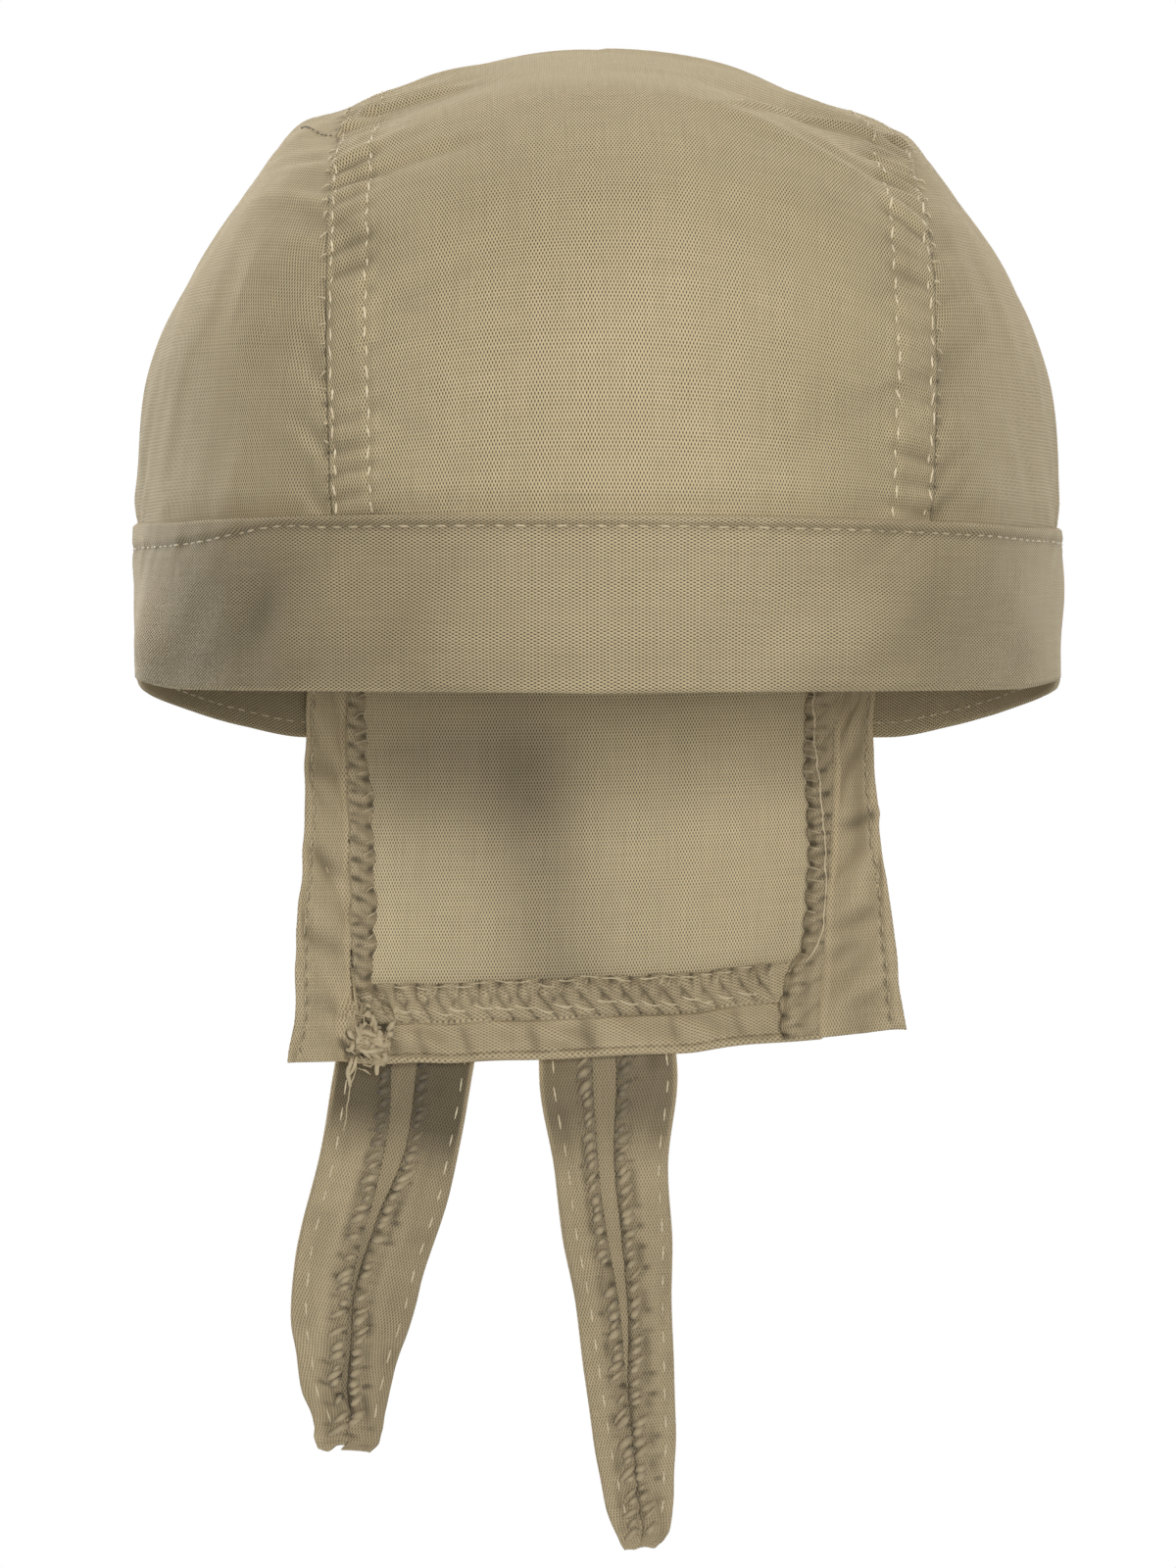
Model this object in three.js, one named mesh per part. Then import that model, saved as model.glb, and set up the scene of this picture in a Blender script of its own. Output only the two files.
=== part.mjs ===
import * as THREE from 'three';

// A bandana cap, in millimetres with +Z up. The wearer looks along -Y. Left and right are as seen
// from the front, so left is -X. The origin is the middle of the head opening, at the front rim.

// Cloth walls, and how the sewn layers lie on each other.
const CLOTH = 1.0;
const BAND_CLOTH = 1.2;
const GAP = 0.3;
const LAP = 8;
const LAP_EASE = 11;
const BAND_PROUD = 0.8;
const BAND_LAP = 6;
const PRESSED_IN = 0.9;

// The crown is a closed surface round the middle of the ear to ear line. Its sections turn about
// that line: 0 is the front, 90 the top and 180 the back. Reach is from the line to the cloth on
// the middle plane, half the half width of the centre panel, shift how far it lies to the right.
const EAR_Y = 6;
const EAR_Z = 30;
const HALF_WIDTH = 85.4;
const CROWN_SECTIONS = [
  { turn: 0, reach: 107, half: 53.3, shift: 6 },
  { turn: 15, reach: 110.5, half: 53.8, shift: 6 },
  { turn: 30, reach: 112, half: 53.9, shift: 5.7 },
  { turn: 45, reach: 107, half: 53.4, shift: 5.2 },
  { turn: 60, reach: 97.4, half: 52.1, shift: 4.7 },
  { turn: 75, reach: 92.2, half: 50.7, shift: 4.5 },
  { turn: 90, reach: 91, half: 50, shift: 4.4 },
  { turn: 110, reach: 93.6, half: 50.1, shift: 2.9 },
  { turn: 130, reach: 98, half: 49.85, shift: 0.85 },
  { turn: 150, reach: 101, half: 49.4, shift: -0.8 },
  { turn: 165, reach: 99.2, half: 48.85, shift: -1.65 },
  { turn: 180, reach: 94, half: 48.5, shift: -1.8 },
];

// The top section from an ear (0) to the middle (90), with its soft corner just outside the seam.
const TOP_SECTION = [
  { lift: 0, radius: 85.4 },
  { lift: 8, radius: 85.4 },
  { lift: 18, radius: 86.7 },
  { lift: 28, radius: 88.7 },
  { lift: 38, radius: 91 },
  { lift: 48, radius: 93.2 },
  { lift: 54, radius: 95.2 },
  { lift: 60, radius: 94.1 },
  { lift: 70, radius: 92 },
  { lift: 90, radius: 91 },
];

// Soft folds of the crown. Turn and out place the middle, and skew is the fold's angle to a section.
const CROWN_FOLDS = [
  { turn: 68, out: -38, skew: 62, length: 24, width: 8, height: 0.8 },
  { turn: 64, out: 42, skew: -58, length: 24, width: 8, height: 1 },
  { turn: 92, out: 38, skew: 0, length: 40, width: 10, height: -1.3 },
  { turn: 52, out: 40, skew: -64, length: 22, width: 7, height: -1.2 },
  { turn: 54, out: -38, skew: 64, length: 20, width: 7, height: -1 },
  { turn: 8, out: 0, skew: 90, length: 60, width: 14, height: -1 },
];

// Rim and top of the headband round the head: 0 is the front, 90 a side and 180 the back.
const BAND_EDGES = [
  { around: 0, rim: 0, top: 30 },
  { around: 60, rim: 1.4, top: 31 },
  { around: 84, rim: 3.4, top: 32 },
  { around: 96, rim: 1.5, top: 31 },
  { around: 109, rim: -0.6, top: 29 },
  { around: 126, rim: -4.3, top: 25 },
  { around: 138, rim: -6.4, top: 23 },
  { around: 180, rim: -6.5, top: 23 },
];
const BAND_END_X = 53;

// How far the cloth is drawn in below the ear line, at the nape and at the sides and front.
const DRAWN_IN = [
  { z: 30, nape: 0, side: 0 },
  { z: 10, nape: 3.6, side: 0.3 },
  { z: -6, nape: 7, side: 0.7 },
  { z: -35, nape: 8.4, side: 0.7 },
  { z: -75, nape: 8.6, side: 0.7 },
];

// Small folds of the headband, by the angle round the head.
const BAND_FOLDS = [
  { around: -72, low: 8, width: 5, height: 1 },
  { around: -50, low: 14, width: 4, height: -0.7 },
  { around: -18, low: 6, width: 6, height: 0.9 },
  { around: 12, low: 7, width: 5, height: -0.7 },
  { around: 34, low: 10, width: 5, height: 0.9 },
  { around: 66, low: 12, width: 5, height: -0.8 },
  { around: 84, low: 16, width: 4, height: 0.4 },
];

// The neck flap: its edges and the seams to its border strips, and how it waves and flattens.
const FLAP_EDGES = [
  { z: 30, left: -57, seamLeft: -50.3, seamRight: 46.7, right: 53.6 },
  { z: 0, left: -57.4, seamLeft: -50, seamRight: 46.6, right: 54.2 },
  { z: -22, left: -57.4, seamLeft: -49.8, seamRight: 46.5, right: 55 },
  { z: -40, left: -58.6, seamLeft: -49.6, seamRight: 46.3, right: 57 },
  { z: -70, left: -60.6, seamLeft: -49.2, seamRight: 46, right: 60.6 },
];
const FLAP_TOP = 16;
const FLAP_BOTTOM_LEFT = -70;
const FLAP_BOTTOM_RIGHT = -63.5;
const FLAP_HEM = 8;
const FLAP_FLAT_DEPTH = 13;
const FLAP_WAVE = 2.4;
const FLAP_WAVE_LENGTH = 62;
const FLAP_WAVE_AT = -8;
const EDGE_ALLOWANCE = 5;
const HEM_ALLOWANCE = 7;

// Ties, a row for each section: the middle of the strip, the way it runs, its width, how far its
// near face stands off the cloth behind it, and how much it hangs free instead, in one plane.
// A heading of 0 is to the right, and -90 is down.
const TIE_CLOTH = 0.8;
const TIE_HEM = 0.9;
const TIE_CHANNEL = 0.19;
const TIE_HANG_Y = 95.5;
const TIE_LEFT = [
  { x: -51.4, z: 8.5, heading: 0, width: 29, off: 0.4, free: 0 },
  { x: -44, z: 8.6, heading: 0, width: 26, off: 0.4, free: 0 },
  { x: -32, z: 9, heading: 2, width: 19, off: 0.4, free: 0 },
  { x: -21, z: 9.2, heading: 0, width: 15, off: 0.4, free: 0 },
  { x: -13, z: 8.4, heading: -14, width: 14, off: 0.4, free: 0 },
  { x: -6.6, z: 5, heading: -44, width: 14, off: 0.4, free: 0 },
  { x: -3.4, z: -2, heading: -80, width: 14, off: 0.5, free: 0 },
  { x: -2.6, z: -12, heading: -85, width: 17, off: 1, free: 0.5 },
  { x: -1.4, z: -28, heading: -86, width: 22, off: 2, free: 0.85 },
  { x: 0.2, z: -50, heading: -86, width: 25.5, off: 2, free: 1 },
  { x: 1.7, z: -72, heading: -86, width: 26.2, off: 2, free: 1 },
  { x: 2.9, z: -94, heading: -86, width: 22.4, off: 2, free: 1 },
  { x: 4.6, z: -113, heading: -86, width: 20.8, off: 2, free: 1 },
  { x: 6.1, z: -133, heading: -85, width: 17.8, off: 2, free: 1 },
  { x: 7.4, z: -149, heading: -84, width: 16.2, off: 2, free: 1 },
  { x: 8.6, z: -159, heading: -84, width: 13.6, off: 2, free: 1 },
  { x: 9, z: -164.5, heading: -84, width: 9.6, off: 2, free: 1 },
  { x: 7.9, z: -167.8, heading: -84, width: 3, off: 2, free: 1 },
];
const TIE_RIGHT = [
  { x: 51.4, z: 8.5, heading: 180, width: 29, off: 0.4, free: 0 },
  { x: 42, z: 8.6, heading: 180, width: 26, off: 0.4, free: 0 },
  { x: 24, z: 9, heading: 180, width: 20, off: 0.6, free: 0 },
  { x: 9, z: 9.2, heading: 180, width: 16, off: 2.4, free: 0 },
  { x: -3, z: 9.2, heading: 182, width: 14, off: 2.6, free: 0 },
  { x: -12.6, z: 8, heading: 198, width: 14, off: 2.6, free: 0 },
  { x: -19.4, z: 3, heading: 232, width: 14, off: 2.6, free: 0 },
  { x: -22.6, z: -4.5, heading: 255, width: 14.5, off: 2.4, free: 0.15 },
  { x: -25.6, z: -16, heading: 257, width: 18, off: 2, free: 0.5 },
  { x: -30, z: -34, heading: 256, width: 23, off: 2, free: 0.85 },
  { x: -35, z: -54, heading: 257, width: 26, off: 2, free: 1 },
  { x: -39.2, z: -72, heading: 257, width: 26.8, off: 2, free: 1 },
  { x: -43.8, z: -93.8, heading: 257, width: 26, off: 2, free: 1 },
  { x: -48.2, z: -113, heading: 258, width: 24.4, off: 2, free: 1 },
  { x: -50.2, z: -127, heading: 261, width: 21, off: 2, free: 1 },
  { x: -50.8, z: -136.4, heading: 264, width: 17.8, off: 2, free: 1 },
  { x: -50.9, z: -142, heading: 264, width: 14.6, off: 2, free: 1 },
  { x: -51.2, z: -146, heading: 262, width: 9.6, off: 2, free: 1 },
  { x: -51.6, z: -148.4, heading: 262, width: 3, off: 2, free: 1 },
];

// The knot that the two ties make, outside the flap.
const KNOT = { x: -13, z: 7.4, width: 25, height: 22, depth: 12, off: 5.1 };

// How finely the surfaces are cut.
const PANEL_COLUMNS = 14;
const CROWN_ROWS = 52;
const FLAP_ROWS = 15;
const SIDE_COLUMNS = 20;
const SIDE_ROWS = 9;
const BAND_COLUMNS = 76;
const TIE_SECTIONS = 44;

const radians = THREE.MathUtils.degToRad;
const mix = THREE.MathUtils.lerp;
const smoothstep = THREE.MathUtils.smoothstep;

// Reads a column of a table at a place between its rows, smoothly and without overshoot.
function read(table, key, place, column) {
  const last = table.length - 1;
  const rising = table[last][key] > table[0][key] ? 1 : -1;
  let row = 0;
  while (row < last - 1 && rising * place > rising * table[row + 1][key]) {
    row += 1;
  }
  const slope = (i) => (table[i + 1][column] - table[i][column]) / (table[i + 1][key] - table[i][key]);
  const tangent = (i) => {
    if (i === 0 || i === last) {
      return slope(Math.min(i, last - 1));
    }
    const before = slope(i - 1);
    const after = slope(i);
    return before * after <= 0 ? 0 : (2 * before * after) / (before + after);
  };
  const span = table[row + 1][key] - table[row][key];
  const t = THREE.MathUtils.clamp((place - table[row][key]) / span, 0, 1);
  return (2 * t ** 3 - 3 * t ** 2 + 1) * table[row][column]
    + (t ** 3 - 2 * t ** 2 + t) * span * tangent(row)
    + (3 * t ** 2 - 2 * t ** 3) * table[row + 1][column]
    + (t ** 3 - t ** 2) * span * tangent(row + 1);
}

// How far the soft folds raise the crown at a place: each is a smooth ridge or dent on a short line.
function foldHeight(turn, out) {
  let height = 0;
  for (const fold of CROWN_FOLDS) {
    const along = radians(turn - fold.turn) * read(CROWN_SECTIONS, 'turn', fold.turn, 'reach');
    const across = out - fold.out;
    const skew = radians(fold.skew);
    const length = (along * Math.cos(skew) + across * Math.sin(skew)) / fold.length;
    const width = (across * Math.cos(skew) - along * Math.sin(skew)) / fold.width;
    height += fold.height * Math.exp(-(width ** 2) - length ** 4);
  }
  return height;
}

// How far the crown is pressed in under the headband, at an angle round the head and a height.
function pressedIn(around, z) {
  const above = z - read(BAND_EDGES, 'around', around, 'top');
  const underBand = 1 - smoothstep(above, 0.5, 5);
  const besideFlap = 1 - smoothstep(around, 146, 156);
  return PRESSED_IN * underBand * besideFlap;
}

// The outer face of the crown at a turn and a lift from the nearer ear, less a depth into it.
function crownRadius(turn, lift) {
  const reach = read(CROWN_SECTIONS, 'turn', turn, 'reach');
  const rise = Math.sin(radians(lift));
  const outward = Math.cos(radians(lift));
  const oval = 1 / Math.hypot(outward / HALF_WIDTH, rise / reach);
  const top = read(CROWN_SECTIONS, 'turn', 90, 'reach');
  const square = read(TOP_SECTION, 'lift', lift, 'radius') * mix(1, reach / top, rise);
  return mix(oval, square, Math.sin(radians(turn)) ** 2);
}

function crownPoint(turn, lift, side, depth) {
  const direction = new THREE.Vector3(
    side * Math.cos(radians(lift)),
    -Math.sin(radians(lift)) * Math.cos(radians(turn)),
    Math.sin(radians(lift)) * Math.sin(radians(turn)),
  );
  const face = direction.clone().multiplyScalar(crownRadius(turn, lift));
  const reach = face.y < 0 ? CROWN_SECTIONS[0].reach : CROWN_SECTIONS[CROWN_SECTIONS.length - 1].reach;
  const around = THREE.MathUtils.radToDeg(Math.atan2(Math.abs(face.x) / HALF_WIDTH, -face.y / reach));
  const inward = depth + pressedIn(around, EAR_Z + face.z) - foldHeight(turn, face.x);
  return face.addScaledVector(direction, -inward).add(new THREE.Vector3(0, EAR_Y, EAR_Z));
}

// The lift at which a section of the crown is a given way out from the middle plane.
function liftAt(turn, out) {
  let lift = 60;
  for (let step = 0; step < 12; step += 1) {
    lift = THREE.MathUtils.radToDeg(Math.acos(Math.min(out / crownRadius(turn, lift), 1)));
  }
  return lift;
}

// Where the centre panel's edge lies on one side: -1 is left and 1 is right.
function seamOut(turn, side) {
  return read(CROWN_SECTIONS, 'turn', turn, 'half') + side * read(CROWN_SECTIONS, 'turn', turn, 'shift');
}

// A point of the cap's wall below the ear line, at an angle round the head, less a depth.
function wallPoint(around, z, depth) {
  const angle = radians(around);
  const low = Math.min(z, EAR_Z);
  const front = CROWN_SECTIONS[0].reach - read(DRAWN_IN, 'z', low, 'side');
  const back = CROWN_SECTIONS[CROWN_SECTIONS.length - 1].reach - read(DRAWN_IN, 'z', low, 'nape');
  const reach = around < 90 ? front : back;
  const half = HALF_WIDTH - read(DRAWN_IN, 'z', low, 'side');
  const normal = new THREE.Vector2(Math.sin(angle) / half, -Math.cos(angle) / reach).normalize();
  return new THREE.Vector3(
    half * Math.sin(angle) - depth * normal.x,
    EAR_Y - reach * Math.cos(angle) - depth * normal.y,
    z,
  );
}

// The angle round the head of a place on the wall that is a given way out from the middle plane.
function aroundAt(out, isFront, z = EAR_Z) {
  const half = HALF_WIDTH - read(DRAWN_IN, 'z', Math.min(z, EAR_Z), 'side');
  const angle = THREE.MathUtils.radToDeg(Math.asin(Math.min(out / half, 1)));
  return isFront ? angle : 180 - angle;
}

// The outer face of the nape and of the flap below it.
function flapFace(x, z) {
  const around = aroundAt(Math.abs(x), false, z);
  const wall = wallPoint(around, z, 0);
  const squareY = wall.y - wallPoint(around, z, 1).y;
  const wallY = wall.y - pressedIn(around, z) / squareY;
  const middle = wallPoint(180, z, 0);
  const flatY = middle.y - FLAP_FLAT_DEPTH * (x / FLAP_EDGES[0].right) ** 2;
  const hangs = 1 - smoothstep(z, -64, -9);
  const wave = FLAP_WAVE * Math.cos((2 * Math.PI * (x - FLAP_WAVE_AT)) / FLAP_WAVE_LENGTH);
  return new THREE.Vector3(x, mix(wallY, flatY - wave, hangs), z);
}

// The same face less a depth, square to the cloth.
function flapPoint(x, z, depth) {
  const reach = 0.5;
  const acrossWay = flapFace(x + reach, z).sub(flapFace(x - reach, z));
  const upWay = flapFace(x, z + reach).sub(flapFace(x, z - reach));
  const inward = acrossWay.cross(upWay).normalize();
  return flapFace(x, z).addScaledVector(inward, depth);
}

// The lower edge of the flap, which hangs a little lower on the left.
function flapBottom(x) {
  const share = THREE.MathUtils.clamp(THREE.MathUtils.inverseLerp(-30, 58, x), 0, 1);
  return mix(FLAP_BOTTOM_LEFT, FLAP_BOTTOM_RIGHT, share ** 2);
}

// Closed solids. A wall has an outer and an inner grid of points, joined round their edges.
function wallSolid(outer, inner) {
  const rows = outer.length;
  const columns = outer[0].length;
  const positions = [...outer.flat(), ...inner.flat()].flatMap((p) => [p.x, p.y, p.z]);
  const index = [];
  const at = (layer, row, column) => layer * rows * columns + row * columns + column;
  const quad = (a, b, c, d) => index.push(a, b, c, a, c, d);
  for (let row = 0; row < rows - 1; row += 1) {
    for (let column = 0; column < columns - 1; column += 1) {
      quad(at(0, row, column), at(0, row, column + 1), at(0, row + 1, column + 1), at(0, row + 1, column));
      quad(at(1, row, column), at(1, row + 1, column), at(1, row + 1, column + 1), at(1, row, column + 1));
    }
  }
  for (let column = 0; column < columns - 1; column += 1) {
    quad(at(0, 0, column + 1), at(0, 0, column), at(1, 0, column), at(1, 0, column + 1));
    const end = rows - 1;
    quad(at(0, end, column), at(0, end, column + 1), at(1, end, column + 1), at(1, end, column));
  }
  for (let row = 0; row < rows - 1; row += 1) {
    quad(at(0, row, 0), at(0, row + 1, 0), at(1, row + 1, 0), at(1, row, 0));
    const end = columns - 1;
    quad(at(0, row + 1, end), at(0, row, end), at(1, row, end), at(1, row + 1, end));
  }
  return facingOut(positions, index);
}

// A loft through rings of the same number of points, with a flat cap at each end.
function loftSolid(rings, capTriangles) {
  const count = rings[0].length;
  const positions = rings.flat().flatMap((p) => [p.x, p.y, p.z]);
  const index = [];
  for (let ring = 0; ring < rings.length - 1; ring += 1) {
    for (let i = 0; i < count; i += 1) {
      const a = ring * count + i;
      const b = ring * count + ((i + 1) % count);
      index.push(a, b, b + count, a, b + count, a + count);
    }
  }
  const end = (rings.length - 1) * count;
  for (const [a, b, c] of capTriangles) {
    index.push(c, b, a, end + a, end + b, end + c);
  }
  return facingOut(positions, index);
}

// Turns all the faces over when they enclose a negative volume.
function facingOut(positions, index) {
  let volume = 0;
  const corner = (i) => new THREE.Vector3().fromArray(positions, 3 * i);
  for (let i = 0; i < index.length; i += 3) {
    volume += corner(index[i]).dot(corner(index[i + 1]).cross(corner(index[i + 2])));
  }
  const faces = volume < 0 ? [...index].reverse() : index;
  const geometry = new THREE.BufferGeometry();
  geometry.setAttribute('position', new THREE.Float32BufferAttribute(positions, 3));
  geometry.setIndex(faces);
  geometry.computeVertexNormals();
  return geometry;
}

// A grid of points from a function of the row and column shares, 0 to 1.
function grid(rows, columns, pointAt) {
  return Array.from({ length: rows + 1 }, (_, row) => (
    Array.from({ length: columns + 1 }, (__, column) => pointAt(row / rows, column / columns))
  ));
}

// The centre panel: up the front, over the top and down the back into the flap, to the hem seam.
function centrePanelPoint(row, across, depth) {
  if (row.kind === 'crown') {
    const out = mix(-seamOut(row.turn, -1), seamOut(row.turn, 1), across);
    return crownPoint(row.turn, liftAt(row.turn, Math.abs(out)), out < 0 ? -1 : 1, depth);
  }
  if (row.kind === 'front') {
    const out = mix(-seamOut(0, -1), seamOut(0, 1), across);
    const around = aroundAt(Math.abs(out), true);
    const top = read(BAND_EDGES, 'around', around, 'top');
    const z = mix(EAR_Z, top - BAND_LAP, row.share);
    const point = wallPoint(around, z, depth + pressedIn(around, z) - foldHeight(0, out));
    point.x *= out < 0 ? -1 : 1;
    return point;
  }
  const seamZ = (x) => flapBottom(x) + FLAP_HEM;
  const z = mix(EAR_Z, seamZ(0), row.share);
  const x = mix(read(FLAP_EDGES, 'z', z, 'seamLeft'), read(FLAP_EDGES, 'z', z, 'seamRight'), across);
  return flapPoint(x, mix(EAR_Z, seamZ(x), row.share), depth);
}

function centrePanel() {
  const rows = [{ kind: 'front', share: 1 }, { kind: 'front', share: 0.5 }];
  for (let row = 0; row <= CROWN_ROWS; row += 1) {
    rows.push({ kind: 'crown', turn: (180 * row) / CROWN_ROWS });
  }
  for (let row = 1; row <= FLAP_ROWS; row += 1) {
    rows.push({ kind: 'flap', share: row / FLAP_ROWS });
  }
  const across = Array.from({ length: PANEL_COLUMNS + 1 }, (_, column) => column / PANEL_COLUMNS);
  const face = (depth) => rows.map((row) => (
    across.map((share) => centrePanelPoint(row, share, depth))
  ));
  return wallSolid(face(0), face(CLOTH));
}

// A side panel fills the D between the seam and the headband, and runs under both.
function sidePanelPoint(along, up, side, depth) {
  const flat = Math.max(up, 0);
  const p = along * Math.sqrt(1 - flat ** 2 / 2);
  const q = flat * Math.sqrt(1 - along ** 2 / 2);
  const turn = THREE.MathUtils.radToDeg(Math.atan2(q, -p));
  const seamLift = liftAt(turn, seamOut(turn, side));
  const edgeLift = seamLift + THREE.MathUtils.radToDeg(LAP / crownRadius(turn, seamLift));
  const lift = edgeLift * Math.min(Math.hypot(p, q), 1);
  const past = radians(seamLift - lift) * crownRadius(turn, lift);
  const under = (CLOTH + GAP) * (1 - smoothstep(past, 0.6, LAP_EASE));
  if (up > 0) {
    return crownPoint(turn, lift, side, depth + under);
  }
  const out = crownRadius(turn, lift) * Math.cos(radians(lift));
  const around = aroundAt(Math.min(out / HALF_WIDTH, 1) * HALF_WIDTH, turn < 90);
  const lower = read(BAND_EDGES, 'around', around, 'top') - BAND_LAP;
  const z = mix(EAR_Z, lower, -up);
  const point = wallPoint(around, z, depth + under + pressedIn(around, z) - foldHeight(turn, side * out));
  point.x *= side;
  return point;
}

function sidePanel(side) {
  const underBand = [-1, -0.5, 0, 0.03, 0.06];
  const above = Array.from({ length: SIDE_ROWS }, (_, row) => (row + 1.2) / (SIDE_ROWS + 0.2));
  const ups = [...underBand, ...above];
  const face = (depth) => ups.map((up) => (
    Array.from({ length: SIDE_COLUMNS + 1 }, (_, column) => (
      sidePanelPoint(mix(-1, 1, column / SIDE_COLUMNS), up, side, depth)
    ))
  ));
  return wallSolid(face(0), face(CLOTH));
}

// The headband, a doubled strip from one edge of the flap round the front to the other.
function headband() {
  const end = aroundAt(BAND_END_X, false);
  const pointAt = (depth) => (up, share) => {
    const around = mix(-end, end, share);
    const rim = read(BAND_EDGES, 'around', Math.abs(around), 'rim');
    const top = read(BAND_EDGES, 'around', Math.abs(around), 'top');
    const z = mix(rim, top, up);
    let fold = 0;
    for (const row of BAND_FOLDS) {
      const high = (z - rim - row.low) / 9;
      fold += row.height * Math.exp(-(((around - row.around) / row.width) ** 2) - high ** 2);
    }
    const point = wallPoint(Math.abs(around), z, depth - BAND_PROUD - Math.max(fold, 0));
    point.x *= around < 0 ? -1 : 1;
    return point;
  };
  const rows = 5;
  return wallSolid(grid(rows, BAND_COLUMNS, pointAt(0)), grid(rows, BAND_COLUMNS, pointAt(BAND_CLOTH)));
}

// A border strip of the flap. Its profile runs from the free edge to the seam, and on over the
// inner face of the centre panel as the raised seam allowance.
function stripProfile(allowance) {
  const lapped = CLOTH + GAP;
  return [
    { across: 0, past: 0, outer: 0, inner: CLOTH },
    { across: 0.5, past: 0, outer: 0, inner: CLOTH },
    { across: 1, past: -1.6, outer: 0, inner: CLOTH },
    { across: 1, past: -1.1, outer: 0, inner: lapped + CLOTH },
    { across: 1, past: -0.5, outer: 0, inner: lapped + CLOTH },
    { across: 1, past: -0.4, outer: lapped, inner: lapped + CLOTH },
    { across: 1, past: allowance, outer: lapped, inner: lapped + CLOTH },
  ];
}

function flapEdge(side) {
  const free = side < 0 ? 'left' : 'right';
  const seam = side < 0 ? 'seamLeft' : 'seamRight';
  const profile = stripProfile(EDGE_ALLOWANCE);
  const face = (layer) => Array.from({ length: FLAP_ROWS + 1 }, (_, row) => profile.map((step) => {
    const level = mix(FLAP_TOP, flapBottom(0), row / FLAP_ROWS);
    const edge = read(FLAP_EDGES, 'z', level, free);
    const inner = read(FLAP_EDGES, 'z', level, seam);
    const x = mix(edge, inner, step.across) - side * step.past;
    const hemTop = flapBottom(x) + FLAP_HEM + HEM_ALLOWANCE + GAP;
    const lowest = step.past > -0.45 && step.across === 1 ? hemTop : flapBottom(x);
    return flapPoint(x, mix(FLAP_TOP, lowest, row / FLAP_ROWS), step[layer]);
  }));
  return wallSolid(face('outer'), face('inner'));
}

// The hem between the two border strips, with its own allowance lapped up over the centre panel.
function flapHem() {
  const columns = 18;
  const face = (layer) => stripProfile(HEM_ALLOWANCE).map((step) => (
    Array.from({ length: columns + 1 }, (_, column) => {
      const bottom = FLAP_BOTTOM_LEFT;
      const left = read(FLAP_EDGES, 'z', bottom, 'seamLeft') + GAP;
      const right = read(FLAP_EDGES, 'z', bottom, 'seamRight') - GAP;
      const x = mix(left, right, column / columns);
      const z = flapBottom(x) + step.across * FLAP_HEM + step.past;
      return flapPoint(x, z, step[layer]);
    })
  ));
  return wallSolid(face('outer'), face('inner'));
}

// The folded strip of a tie: a base, with both long edges turned in to leave a channel between.
function tieProfile(width) {
  const half = width / 2;
  const channel = width * TIE_CHANNEL * 0.5;
  const step = Math.min(0.5, half * 0.1);
  const full = TIE_CLOTH + TIE_HEM;
  return [
    new THREE.Vector2(-half, 0),
    new THREE.Vector2(0, 0),
    new THREE.Vector2(half, 0),
    new THREE.Vector2(half, full),
    new THREE.Vector2(channel + step, full),
    new THREE.Vector2(channel, TIE_CLOTH),
    new THREE.Vector2(-channel, TIE_CLOTH),
    new THREE.Vector2(-channel - step, full),
    new THREE.Vector2(-half, full),
  ];
}

function tie(table) {
  const rows = table.map((row, number) => ({ ...row, number }));
  const last = rows.length - 1;
  const rings = [];
  for (let section = 0; section <= TIE_SECTIONS; section += 1) {
    const place = (section / TIE_SECTIONS) * last;
    const x = read(rows, 'number', place, 'x');
    const z = read(rows, 'number', place, 'z');
    const heading = radians(read(rows, 'number', place, 'heading'));
    const off = read(rows, 'number', place, 'off');
    const width = read(rows, 'number', place, 'width');
    const free = read(rows, 'number', place, 'free');
    const across = new THREE.Vector3(-Math.sin(heading), 0, Math.cos(heading));
    const profile = tieProfile(width);
    const full = TIE_CLOTH + TIE_HEM;
    rings.push(profile.map((point) => {
      const px = x + point.x * across.x;
      const pz = z + point.x * across.z;
      const near = off + full - point.y;
      const lying = flapPoint(px, Math.max(pz, FLAP_BOTTOM_RIGHT), -near);
      const hanging = new THREE.Vector3(px, TIE_HANG_Y + full - point.y, pz);
      return lying.lerp(hanging, free).setZ(mix(lying.z, pz, smoothstep(free, 0, 0.2)));
    }));
  }
  const caps = THREE.ShapeUtils.triangulateShape(tieProfile(10), []);
  return loftSolid(rings, caps);
}

// The knot, a rounded lump of turned cloth with a flat back towards the ties.
function knot() {
  const rings = 9;
  const sides = 24;
  const points = Array.from({ length: rings + 1 }, (_, ring) => (
    Array.from({ length: sides }, (__, i) => {
      const angle = (2 * Math.PI * i) / sides;
      const level = ring / rings;
      const swell = mix(0.9, 1, Math.sin(Math.PI * Math.min(level * 1.6, 1) / 2));
      const shrink = swell * Math.sqrt(1 - (level * 0.97) ** 3);
      const wraps = 1 + 0.06 * Math.cos(3 * angle + 0.6) * Math.sin(Math.PI * level);
      const x = KNOT.x + (KNOT.width / 2) * shrink * wraps * Math.cos(angle);
      const z = KNOT.z + (KNOT.height / 2) * shrink * wraps * Math.sin(angle);
      return flapPoint(x, z, -(KNOT.off + KNOT.depth * level));
    })
  ));
  const circle = Array.from({ length: sides }, (_, i) => {
    const angle = (2 * Math.PI * i) / sides;
    return new THREE.Vector2(Math.cos(angle), Math.sin(angle));
  });
  return loftSolid(points, THREE.ShapeUtils.triangulateShape(circle, []));
}

const KHAKI = 0xb3a27a;
const SHADED_KHAKI = 0x9c8c66;

function cloth(color) {
  return new THREE.MeshStandardMaterial({ color, roughness: 0.92, metalness: 0 });
}

const cap = new THREE.Group();
cap.name = 'bandana_cap';

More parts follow.
